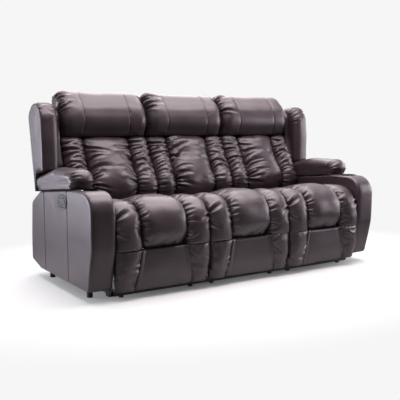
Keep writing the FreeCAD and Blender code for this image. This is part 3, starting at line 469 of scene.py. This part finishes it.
def timber_material():
    """Raw pine with drawn-out rings along X and Y; below 6 cm the colour goes near black, shade put
    into the colour where the leg ends stand in the shadow under the arms.
    """
    material, tree, shader = new_material("timber", (0.52, 0.36, 0.2), 0.65)
    place = tree.nodes.new("ShaderNodeTexCoord").outputs["Object"]
    stretch = wired(tree, "ShaderNodeMapping", {"Vector": place, "Scale": (3.0, 3.0, 60.0)})
    rings = wired(tree, "ShaderNodeTexNoise", {"Vector": stretch.outputs["Vector"], "Scale": 2.0,
                                               "Detail": 5.0, "Distortion": 0.6})
    ramp = tree.nodes.new("ShaderNodeValToRGB")
    ramp.color_ramp.elements[0].color = (0.38, 0.24, 0.12, 1)
    ramp.color_ramp.elements[1].color = (0.62, 0.46, 0.28, 1)
    tree.links.new(rings.outputs["Fac"], ramp.inputs["Fac"])
    height = wired(tree, "ShaderNodeSeparateXYZ", {0: place})
    # Near black below 6 cm: shade put into the colour of the leg ends, which stand in the shadow
    # under the arms.
    shade_below = wired(tree, "ShaderNodeMapRange", {"Value": height.outputs["Z"], "From Min": 0.060,
                                               "From Max": 0.061, "To Min": 1.0, "To Max": 0.0})
    timber_and_shade = wired(tree, "ShaderNodeMix", {"Factor": shade_below.outputs["Result"]})
    timber_and_shade.data_type = "RGBA"
    tree.links.new(ramp.outputs["Color"], timber_and_shade.inputs[6])
    # The colour of that shade under the arms.
    timber_and_shade.inputs[7].default_value = (0.012, 0.011, 0.012, 1)
    tree.links.new(timber_and_shade.outputs[2], shader.inputs["Base Color"])
    bump = wired(tree, "ShaderNodeBump", {"Height": rings.outputs["Fac"], "Strength": 0.2,
                                          "Distance": 0.0005})
    tree.links.new(bump.outputs["Normal"], shader.inputs["Normal"])
    return material


def webbing_material():
    """Woven elastic."""
    colour = (0.09, 0.075, 0.07)
    material, tree, shader = new_material("webbing", colour, 0.8)
    place = tree.nodes.new("ShaderNodeTexCoord").outputs["Object"]
    waves = []
    for direction in ("X", "Y"):
        wave = wired(tree, "ShaderNodeTexWave", {"Vector": place, "Scale": 160.0})
        wave.bands_direction = direction
        waves.append(wave.outputs["Fac"])
    cross = wired(tree, "ShaderNodeMath", {0: waves[0], 1: waves[1]})
    cross.operation = "MULTIPLY"
    bump = wired(tree, "ShaderNodeBump", {"Height": cross.outputs[0], "Strength": 0.6,
                                          "Distance": 0.001})
    tree.links.new(bump.outputs["Normal"], shader.inputs["Normal"])
    mottled(tree, shader, place, colour, 60.0, 0.25)
    return material


LEATHER = leather_material("leather", (0.028, 0.018, 0.021), 0.40)
SEAM = leather_material("seam", (0.010, 0.008, 0.009), 0.6)
MATERIALS = {
    "rails": hard_material("rails", (0.012, 0.012, 0.013), 0.45),
    "links": hard_material("links", (0.42, 0.42, 0.44), 0.34, 1.0, grain=220.0),
    "timber": timber_material(),
    "webbing": webbing_material(),
    "feet": hard_material("feet", (0.01, 0.01, 0.01), 0.5),
    "cup": hard_material("cup", (0.008, 0.008, 0.009), 0.16, grain=60.0, depth=0.0001),
    "bezel": hard_material("bezel", (0.30, 0.30, 0.32), 0.2, 1.0, grain=700.0, depth=0.0001),
    "button": hard_material("button", (0.012, 0.012, 0.014), 0.4),
    "drive": hard_material("drive", (0.02, 0.02, 0.023), 0.38),
    "leather": LEATHER,
}


def paint_frame():
    """The CAD nodes that stay in view get the finish of their record's slot."""
    for part in frame["record"]["subparts"]:
        node = frame["nodes"][part["node"]]
        node.data.materials.clear()
        node.data.materials.append(MATERIALS[part["material_slot"]])


# Seats

def seat_cushion(seat, side):
    low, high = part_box("seat_cushion_" + seat)
    front, rear = low.y, high.y
    bottom, top = low.z, high.z
    half = SEAT_PITCH / 2 - 0.0008
    nose_rear, step, deck = front + 0.054, front + 0.0996, 0.3335
    nose_top = 0.2935
    back = [(rear, 0.386, 0.03), (rear, deck), (step, deck), (step, nose_top),
            (nose_rear, nose_top)]
    side_roll = [(nose_rear, bottom), (front + 0.001, bottom, 0.007), (front, 0.31, 0.3),
                 (front + 0.008, top - 0.085, 0.12), (front + 0.078, top - 0.006, 0.12),
                 (front + 0.21, top - 0.010, 0.3)] + back
    bolster = [(nose_rear, bottom), (front + 0.034, bottom, 0.014), (front - 0.006, 0.312, 0.09),
               (front + 0.004, top - 0.080, 0.12), (front + 0.074, top + 0.002, 0.12),
               (front + 0.21, top - 0.002, 0.3)] + back
    depths = [0.0, 0.040, 0.040, 0.040, 0.040, 0.036, 0, 0, 0, 0, 0]
    edges = [-half, -SEAT_CHANNEL, SEAT_CHANNEL, half]
    places = stations(edges, (26, 46, 26))
    drawn = rolls(places, edges, (0.9, 1.0, 1.0, 0.9), (2.7, 4.5, 2.7))
    mix = (np.abs(places) < SEAT_CHANNEL + 1e-6) * 1.0
    form = Form([side_roll, bolster], depths, places, drawn, mix)
    nose = form.s_at(front, bottom + 0.03)
    crest = form.s_at(front + 0.12, top)
    far = form.s_at(front + 0.42, top - 0.05)
    seed = 10 + 7 * side
    c = SEAT_CHANNEL
    height = form.gathers(seed, -c, 1, nose, crest + 0.06, 0.024, 0.040, 0.0065, 0.013)
    height += form.gathers(seed + 1, c, 1, nose - 0.03, crest + 0.03, 0.030, 0.065, 0.008, 0.011,
                           0.02)
    height += form.gathers(seed + 2, c, -1, crest - 0.02, crest + 0.1, 0.030, 0.03, 0.006, 0.006)
    height += form.gathers(seed + 3, -c, -1, nose + 0.05, far, 0.045, 0.05, 0.008, 0.008, 0.02)
    height += form.fold(-half, form.s_at(front, 0.425), 0.085, 0.030, 0.012, 0.020, 0.9)
    height += form.fold(half, form.s_at(front, 0.40), -0.07, -0.030, 0.012, 0.014, 1.0)
    height += form.fold(-half, form.s_at(front, 0.34), 0.06, -0.03, 0.012, 0.012, 1.0)
    height += form.slack(seed, 0.11, 0.005)
    y, z = form.points[..., 1], form.points[..., 2]
    underside = (z < bottom + 0.004) | (y > nose_rear - 0.004) & (z < deck + 0.004)
    form.raise_by(np.where(underside, 0.0, height))
    form.hold_where(lambda y, z: (z < bottom + 0.1) & (y > front + 0.04) | (y > 0.05), edges,
                    SPARE_SEAT)
    piece = form.mesh("seat_cushion_cover_" + seat, side * SEAT_PITCH)
    dress(piece, "base", ["seat_cushion_" + seat], LEATHER)


def front_pad(seat, side):
    """Lower front pad with two flared seams, on the footrest or fixed."""
    node = ("front_pad_" if seat == "c" else "footrest_pad_") + seat
    low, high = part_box(node)
    half = SEAT_PITCH / 2 - 0.0015
    front, rear, bottom, top = low.y, high.y, low.z, high.z + 0.0042
    side_roll = [(rear, bottom), (front + 0.022, bottom, 0.03),
                 (front + 0.002, bottom + 0.075, 0.3), (front + 0.0015, top, 0.001), (rear, top)]
    centre = [(rear, bottom), (front + 0.030, bottom, 0.03), (front + 0.013, bottom + 0.075, 0.3),
              (front + 0.018, top, 0.012), (rear, top)]
    depths = [0.004, 0.040, 0.034, 0.0, 0]
    edges = [-half, -PAD_SEAM, PAD_SEAM, half]
    places = stations(edges, (24, 40, 24))
    drawn = rolls(places, edges, (0.9, 0.5, 0.5, 0.9), (2.7, 9, 2.7))
    mix = np.clip((PAD_SEAM + 0.0001 - np.abs(places)) / 0.02, 0, 1)
    form = Form([side_roll, centre], depths, places, drawn, mix)
    fall = np.clip((top - form.points[..., 2]) / (top - bottom), 0, 1)
    share = np.clip(np.abs(form.x) / PAD_SEAM, 0, 1)[:, None]
    beyond = np.clip((half - np.abs(form.x)) / (half - PAD_SEAM), 0, 1)[:, None]
    form.points[..., 0] += (np.sign(form.x)[:, None] * PAD_SEAM_FLARE * fall
                            * np.minimum(share, beyond))
    tuck = np.clip(fall - 0.72, 0, 1) * 0.12
    form.points[..., 0] -= form.x[:, None] * tuck
    seed = 50 + 7 * side
    high_s = form.s_at(front, top - 0.01)
    low_s = form.s_at(front, bottom + 0.03)
    height = form.gathers(seed, PAD_SEAM, 1, high_s - 0.06, high_s + 0.002, 0.024, 0.11, 0.009,
                          0.010, 0.09, 1.0)
    height += form.gathers(seed + 1, -PAD_SEAM, -1, low_s, high_s - 0.05, 0.045, 0.08, 0.010, 0.009,
                           -0.05, 1.0)
    height += form.slack(seed, 0.12, 0.004)
    form.raise_by(height)
    form.hold_where(lambda y, z: (y > front + 0.045) | (z > top - 0.002), edges,
                    SPARE_FRONT_PAD)
    form.hold[np.abs(form.x) < PAD_SEAM + 0.0005] = 1.0
    piece = form.mesh("front_pad_cover_" + seat, side * SEAT_PITCH)
    dress(piece, body_name("footrest", seat), [node], LEATHER)


# Backs

def lumbar_cushion(seat, side):
    low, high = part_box("lumbar_cushion_" + seat)
    half = SEAT_PITCH / 2 - 0.0008
    bottom, top, front = low.z, high.z + 0.004, low.y
    seat_depth = 0.0355
    rear = [(rear_y(top) - seat_depth, top), (rear_y(bottom) - seat_depth, bottom)]
    side_roll = [(front + 0.045, bottom, 0.02), (front, bottom + 0.10, 0.12),
                 (0.146, 0.609, 0.3), (0.232, top, 0.04)] + rear
    belly = [(front + 0.045, bottom, 0.02), (front - 0.004, bottom + 0.105, 0.12),
             (0.138, 0.612, 0.3), (0.226, top, 0.06)] + rear
    depths = [0.055, 0.060, 0.056, 0.020, 0, 0]
    edges = [-half, -BACK_CHANNEL, BACK_CHANNEL, half]
    places = stations(edges, (28, 54, 28))
    drawn = rolls(places, edges, (0.85, 0.95, 0.95, 0.85), (2.3, 3.4, 2.3))
    mix = (np.abs(places) < BACK_CHANNEL + 1e-6) * 1.0
    form = Form([side_roll, belly], depths, places, drawn, mix, gap=0.006)
    foot = form.s_at(front, bottom + 0.05)
    head = form.s_at(0.22, top - 0.01)
    c = BACK_CHANNEL
    seed = 100 + 11 * side
    height = form.gathers(seed, -c, 1, foot, head, 0.030, 0.14, 0.009, 0.014, 0.035, 1.1)
    right_folds = 0.013 if seat == "l" else 0.004
    height += form.gathers(seed + 1, c, -1, foot, head, 0.050, 0.14, 0.010, right_folds, -0.03, 1.0)
    middle = foot + 0.35 * (head - foot)
    height += form.gathers(seed + 2, -half, 1, middle, head, 0.027, 0.13, 0.0075, 0.012, 0.02, 0.7)
    height += form.gathers(seed + 3, -c, -1, middle, head, 0.027, 0.12, 0.0075, 0.012, 0.02, 0.7)
    height += form.gathers(seed + 4, c, 1, middle, head, 0.026, 0.13, 0.0075, 0.012, 0.02, 0.7)
    height += form.gathers(seed + 5, half, -1, middle, head, 0.028, 0.10, 0.0075, 0.011, 0.02, 0.7)
    for k, (x0, way) in enumerate(((-half, 1), (-c, -1), (c, 1), (half, -1))):
        height += form.gathers(seed + 6 + k, x0, way, foot - 0.02, middle, 0.032, 0.07, 0.007,
                               0.009, 0.01, 1.0)
    height += form.slack(seed, 0.09, 0.006)
    form.raise_by(height)
    form.hold_where(lambda y, z: (y > rear_y(z) - seat_depth - 0.03) | (z < bottom + 0.002), edges,
                    SPARE_LUMBAR)
    piece = form.mesh("lumbar_cover_" + seat, side * SEAT_PITCH)
    dress(piece, body_name("back", seat), ["lumbar_cushion_" + seat], LEATHER)


def head_pillow(seat, side):
    low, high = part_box("head_pillow_" + seat)
    half = SEAT_PITCH / 2 - 0.003
    bottom, top = low.z - 0.010, high.z - 0.004
    front, rear = 0.200, 0.452
    corners = [(front + 0.040, bottom, 0.03), (front, bottom + 0.085, 0.10),
               (front + 0.030, top - 0.080, 0.12), (front + 0.112, top, 0.09),
               (rear - 0.062, top, 0.07), (rear, bottom + 0.14, 0.08),
               (rear_y(bottom) - 0.002, bottom, 0.02)]
    depths = [0.060, 0.062, 0.062, 0.062, 0.062, 0.055, 0.0]
    seam = BACK_CHANNEL
    edges = [-half, -seam, seam, half]
    places = stations(edges, (28, 30, 28))
    drawn = rolls(places, edges, (1.0, 0.04, 0.04, 1.0), (2.3, 30, 2.3))
    form = Form([corners], depths, places, drawn)
    over = form.s_at(front + 0.05, top - 0.02)
    behind = form.s_at(rear - 0.03, top - 0.06)
    seed = 200 + 13 * side
    height = form.gathers(seed, -half, 1, over - 0.07, behind, 0.030, 0.10, 0.009, 0.020, -0.02)
    height += form.gathers(seed + 1, half, -1, over, behind, 0.045, 0.05, 0.009, 0.008, 0.01)
    height += form.slack(seed, 0.13, 0.004)
    form.raise_by(height)
    form.hold_where(lambda y, z: (y > rear_y(z) - 0.01) & (z < bottom + 0.1), edges,
                    SPARE_PILLOW)
    form.hold[np.abs(form.x) < seam + 0.0005] = 1.0
    piece = form.mesh("head_pillow_cover_" + seat, side * SEAT_PITCH)
    dress(piece, body_name("back", seat), ["head_pillow_" + seat], LEATHER)


def back_panel(seat, side):
    """Upholstered rear panel with a rolled edge."""
    low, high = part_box("back_shell_" + seat)
    half = SEAT_PITCH / 2 - 0.0006
    bottom, top = low.z, high.z
    thick = 0.010
    corners = [(rear_y(bottom) - thick, bottom), (rear_y(bottom), bottom, 0.006),
               (rear_y(top), top, 0.006), (rear_y(top) - thick, top)]
    edges = [-half, half]
    places = stations(edges, (40,))
    drawn = rolls(places, edges, (1.0, 1.0), (16,))
    form = Form([corners], [0.002, 0.006, 0, 0], places, drawn, gap=0.012)
    form.raise_by(form.slack(300 + side, 0.16, 0.0012))
    piece = form.mesh("back_panel_" + seat, side * SEAT_PITCH)
    dress(piece, body_name("back", seat), ["back_shell_" + seat], LEATHER)


# Wings and arms, made for the right side

def pad_top(y):
    return 0.627 - (y - 0.040) * 0.218


def flipped(form, side):
    """The form mirrored for the left side."""
    if side < 0:
        form.points[..., 0] *= -1
        form.x = -form.x
    return form


def wing(name, side):
    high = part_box("wing_r")[1]
    front, rear, top, foot = 0.169, 0.386, high.z, 0.481
    outer = high.x
    inner = outer - 0.104
    step = 0.2875
    corners = [(rear - 0.082, foot, 0.012), (step, foot + 0.002, 0.006),
               (step, pad_top(step) + 0.0035, 0.006), (front, pad_top(front) + 0.0035, 0.014),
               (front - 0.001, top - 0.2, 0.3), (front + 0.010, top - 0.075, 0.10),
               (front + 0.055, top - 0.012, 0.06), (front + 0.145, top, 0.09),
               (rear, top - 0.062, 0.05), (rear - 0.027, top - 0.2, 0.2),
               (rear - 0.06, top - 0.378)]
    depths = [0.002, 0.026, 0.002] + [0.048] * 5 + [0.014] * 3
    places = stations([inner, outer], (36,))
    drawn = rolls(places, [inner, outer], (1.0, 0.30), (2.5,))
    form = Form([corners], depths, places, drawn)
    shoulder = form.s_at(front + 0.03, top - 0.04)
    height = form.gathers(400, inner, 1, shoulder - 0.09, shoulder + 0.06, 0.034, 0.075, 0.007,
                          0.010, 0.01)
    height += form.gathers(404, outer, -1, shoulder - 0.05, shoulder + 0.09, 0.030, 0.05, 0.006,
                           0.007, 0.01)
    height += form.slack(401, 0.1, 0.0012)
    form.raise_by(height)
    piece = flipped(form, side).mesh("wing_cover_" + name, 0)
    dress(piece, "back_" + name, ["wing_" + name], LEATHER)
    wing_filler(name, side, inner)


def wing_filler(name, side, inner):
    """Inner part of the wing that carries the back cushion's line to the side."""
    lumbar_front, lumbar_top, high = 0.072, 0.774, 0.950
    front = lumbar_front + 0.120
    foot = pad_top(front) + 0.0055
    step = 0.284
    corners = [(step, foot), (front, foot, 0.03), (0.244, lumbar_top - 0.014, 0.2),
               (0.250, high - 0.048, 0.06), (0.300, high, 0.06),
               (rear_y(high) - 0.05, high - 0.008, 0.04), (rear_y(foot) - 0.018, foot)]
    start = ARM_INNER + 0.002
    finish = inner + 0.030
    places = stations([start, finish], (14,))
    drawn = rolls(places, [start, finish], (0.5, 0.3), (3.0,))
    form = Form([corners], [0.004, 0.018, 0.018, 0.018, 0.018, 0.002, 0.0], places, drawn)
    form.raise_by(form.slack(410, 0.08, 0.003))
    piece = flipped(form, side).mesh("wing_filler_" + name, 0)
    dress(piece, "back_" + name, [], LEATHER)


def arm_cover(name, side):
    low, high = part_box("arm_cover_r")
    front, rear, bottom, top = -0.442, 0.413, low.z, high.z
    corners = [(front + 0.05, bottom, 0.025), (front + 0.002, 0.26, 0.2), (front, top, 0.105),
               (-0.2, top), (0.255, 0.493, 0.10), (rear - 0.022, 0.424, 0.045),
               (rear - 0.002, 0.251, 0.3), (rear, 0.082, 0.03), (0.3, bottom, 0.02)]
    depths = [0.022] * 8 + [0.008]
    places = stations([ARM_INNER, ARM_OUTER], (40,))
    drawn = rolls(places, [ARM_INNER, ARM_OUTER], (0.7, 0.9), (6,))
    form = Form([corners], depths, places, drawn)
    form.raise_by(form.slack(500, 0.12, 0.0015))
    piece = flipped(form, side).mesh("arm_cover_skin_" + name, 0)
    drill(piece, side)
    dress(piece, "base", ["arm_cover_" + name], LEATHER)
    foot = bottom + ARM_SEAM_FOOT
    for label, y, head in ARM_SEAMS:
        seam_line("arm_seam_" + label + "_" + name, "base",
                  [(side * (ARM_OUTER + 0.0002), y, foot + (head - foot) * k / ARM_SEAM_STEPS)
                   for k in range(ARM_SEAM_STEPS + 1)], ARM_SEAM_RADIUS)


def seam_line(name, body, path, radius):
    """A sewn seam: a thin round line half sunk in the surface."""
    ring = 8
    verts, faces = [], []
    spots = [Vector(p) for p in path]
    for i, spot in enumerate(spots):
        along = (spots[min(i + 1, len(spots) - 1)] - spots[max(i - 1, 0)]).normalized()
        across = along.cross(Vector((1, 0.13, 0.07))).normalized()
        other = along.cross(across)
        for k in range(ring):
            turn = 2 * math.pi * k / ring
            verts.append(spot + radius * (math.cos(turn) * across + math.sin(turn) * other))
    for i in range(len(spots) - 1):
        for k in range(ring):
            m = (k + 1) % ring
            faces.append((i * ring + k, i * ring + m, (i + 1) * ring + m, (i + 1) * ring + k))
    faces.append(tuple(range(ring)))
    faces.append(tuple(len(verts) - 1 - k for k in range(ring)))
    data = bpy.data.meshes.new(name)
    data.from_pydata(verts, [], faces)
    data.shade_smooth()
    piece = bpy.data.objects.new(name, data)
    bpy.context.scene.collection.objects.link(piece)
    dress(piece, body, [], SEAM)


def drill(piece, side):
    """Opens the arm for its cup holder and its switch housing."""
    bpy.ops.mesh.primitive_cylinder_add(vertices=64, radius=CUP_RADIUS, depth=CUP_DEPTH,
                                        location=(side * ARM_MID, *CUP_PLACE))
    cup = bpy.context.object
    bpy.ops.mesh.primitive_cube_add(size=1, location=(side * SWITCH_PLACE[0], *SWITCH_PLACE[1:]))
    box = bpy.context.object
    box.scale = SWITCH_HOLE
    for cutter in (cup, box):
        change = piece.modifiers.new("cut", "BOOLEAN")
        change.operation = "DIFFERENCE"
        change.solver = "EXACT"
        change.object = cutter
    graph = bpy.context.evaluated_depsgraph_get()
    shaped = bpy.data.meshes.new_from_object(piece.evaluated_get(graph))
    piece.modifiers.clear()
    piece.data = shaped
    shaped.set_sharp_from_angle(angle=math.radians(35))
    for cutter in (cup, box):
        bpy.data.objects.remove(cutter)


def arm_pad(name, side):
    low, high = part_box("arm_pad_r")
    front, rear, top = -0.228, 0.284, high.z
    base = 0.5352
    corners = [(front + 0.014, base, 0.006), (front - 0.010, base + 0.042, 0.045),
               (front + 0.022, top + 0.004, 0.085), (0.04, top + 0.002, 0.3),
               (rear, pad_top(rear) + 0.002, 0.03), (rear - 0.002, 0.522), (0.248, 0.4906),
               (-0.2, base)]
    depths = [0.050, 0.062, 0.052, 0.040, 0.004, 0.001, 0, 0]
    outer = high.x + 0.006
    places = stations([low.x, outer], (38,))
    drawn = rolls(places, [low.x, outer], (0.9, 0.9), (2.1,))
    form = Form([corners], depths, places, drawn, gap=0.006)
    nose = form.s_at(front + 0.01, top - 0.02)
    height = form.gathers(600, outer, -1, nose - 0.05, nose + 0.08, 0.020, 0.045, 0.0055, 0.008)
    height += form.gathers(601, low.x, 1, nose - 0.05, nose + 0.08, 0.022, 0.045, 0.0055, 0.010)
    height += form.gathers(603, outer, -1, nose + 0.08, nose + 0.40, 0.045, 0.035, 0.007, 0.003)
    height += form.slack(602, 0.1, 0.003)
    form.raise_by(height)
    piece = flipped(form, side).mesh("arm_pad_cover_" + name, 0)
    dress(piece, "base", ["arm_pad_" + name], LEATHER)


# Studio

def studio():
    """Pale floor, a background that only the camera sees, and soft lamps."""
    shape = bmesh.new()
    bmesh.ops.create_grid(shape, x_segments=8, y_segments=8, size=30)
    data = bpy.data.meshes.new("floor")
    shape.to_mesh(data)
    shape.free()
    floor = bpy.data.objects.new("floor", data)
    bpy.context.scene.collection.objects.link(floor)
    material, tree, shader = new_material("floor", FLOOR_COLOUR, 0.9)
    shader.inputs["Specular IOR Level"].default_value = 0.0
    glow = tree.nodes.new("ShaderNodeEmission")
    place = tree.nodes.new("ShaderNodeTexCoord").outputs["Object"]
    spread = wired(tree, "ShaderNodeMapping", {"Vector": place, "Scale": (0.75, 1.0, 1.0)})
    reach = wired(tree, "ShaderNodeVectorMath", {0: spread.outputs["Vector"]})
    reach.operation = "LENGTH"
    far = wired(tree, "ShaderNodeMapRange", {"Value": reach.outputs["Value"],
                                             "From Min": FLOOR_FADE[0],
                                             "From Max": FLOOR_FADE[1]})
    far.interpolation_type = "SMOOTHSTEP"
    rays = tree.nodes.new("ShaderNodeLightPath")
    level = wired(tree, "ShaderNodeMapRange", {"Value": rays.outputs["Is Camera Ray"],
                                               "To Min": FLOOR_GLOW, "To Max": BACKGROUND})
    tree.links.new(level.outputs["Result"], glow.inputs["Strength"])
    lift = wired(tree, "ShaderNodeMath", {0: rays.outputs["Is Camera Ray"], 1: FLOOR_LIFT})
    lift.operation = "MULTIPLY"
    tree.links.new(lift.outputs[0], shader.inputs["Emission Strength"])
    shader.inputs["Emission Color"].default_value = (1, 1, 1, 1)
    mix = wired(tree, "ShaderNodeMixShader", {0: far.outputs["Result"], 1: shader.outputs[0],
                                              2: glow.outputs[0]})
    tree.links.new(mix.outputs[0], tree.nodes["Material Output"].inputs["Surface"])
    data.materials.append(material)
    world = bpy.data.worlds.new("studio")
    bpy.context.scene.world = world
    world.use_nodes = True
    back = world.node_tree.nodes["Background"]
    back.inputs["Color"].default_value = (1, 1, 1, 1)
    tree = world.node_tree
    direction = wired(tree, "ShaderNodeSeparateXYZ",
                      {0: tree.nodes.new("ShaderNodeTexCoord").outputs["Generated"]})
    above = wired(tree, "ShaderNodeMapRange", {"Value": direction.outputs["Z"], "From Min": 0.0,
                                               "From Max": 0.6, "To Max": 0.35})
    behind = wired(tree, "ShaderNodeMapRange", {"Value": direction.outputs["Y"],
                                                "From Min": -0.1, "From Max": 0.5, "To Max": 0.9})
    studio_light = wired(tree, "ShaderNodeMath", {0: above.outputs["Result"],
                                                  1: behind.outputs["Result"]})
    studio_light.operation = "ADD"
    rays = tree.nodes.new("ShaderNodeLightPath")
    level = wired(tree, "ShaderNodeMix", {"Factor": rays.outputs["Is Camera Ray"],
                                          "A": studio_light.outputs[0], "B": BACKGROUND})
    tree.links.new(level.outputs["Result"], back.inputs["Strength"])
    for settings in LAMPS:
        lamp(*settings)


def lamp(name, place, target, size, power, colour):
    data = bpy.data.lights.new(name, "AREA")
    data.shape = "RECTANGLE"
    data.size, data.size_y = size
    data.energy = power
    data.color = colour
    lamp_object = bpy.data.objects.new(name, data)
    lamp_object.location = place
    direction = Vector(target) - Vector(place)
    lamp_object.rotation_euler = direction.to_track_quat("-Z", "Y").to_euler()
    bpy.context.scene.collection.objects.link(lamp_object)


def camera():
    """The photograph's own viewpoint."""
    azimuth, fall = math.radians(CAMERA_AZIMUTH), math.radians(CAMERA_FALL)
    forward = Vector((-math.sin(azimuth) * math.cos(fall), math.cos(azimuth) * math.cos(fall),
                      -math.sin(fall)))
    data = bpy.data.cameras.new("camera")
    data.sensor_width = SENSOR_WIDTH
    data.lens = CAMERA_FOCAL / CAMERA_SIDE * data.sensor_width
    view = bpy.data.objects.new("camera", data)
    view.location = CAMERA_PLACE
    view.rotation_euler = forward.to_track_quat("-Z", "Y").to_euler()
    bpy.context.scene.collection.objects.link(view)
    bpy.context.scene.camera = view


paint_frame()
for seat, side in SEATS.items():
    seat_cushion(seat, side)
    front_pad(seat, side)
    lumbar_cushion(seat, side)
    head_pillow(seat, side)
    back_panel(seat, side)
for name, side in ENDS.items():
    wing(name, side)
    arm_cover(name, side)
    arm_pad(name, side)
soften(STUFFED)
studio()
camera()
bpy.context.scene.view_settings.view_transform = "Standard"
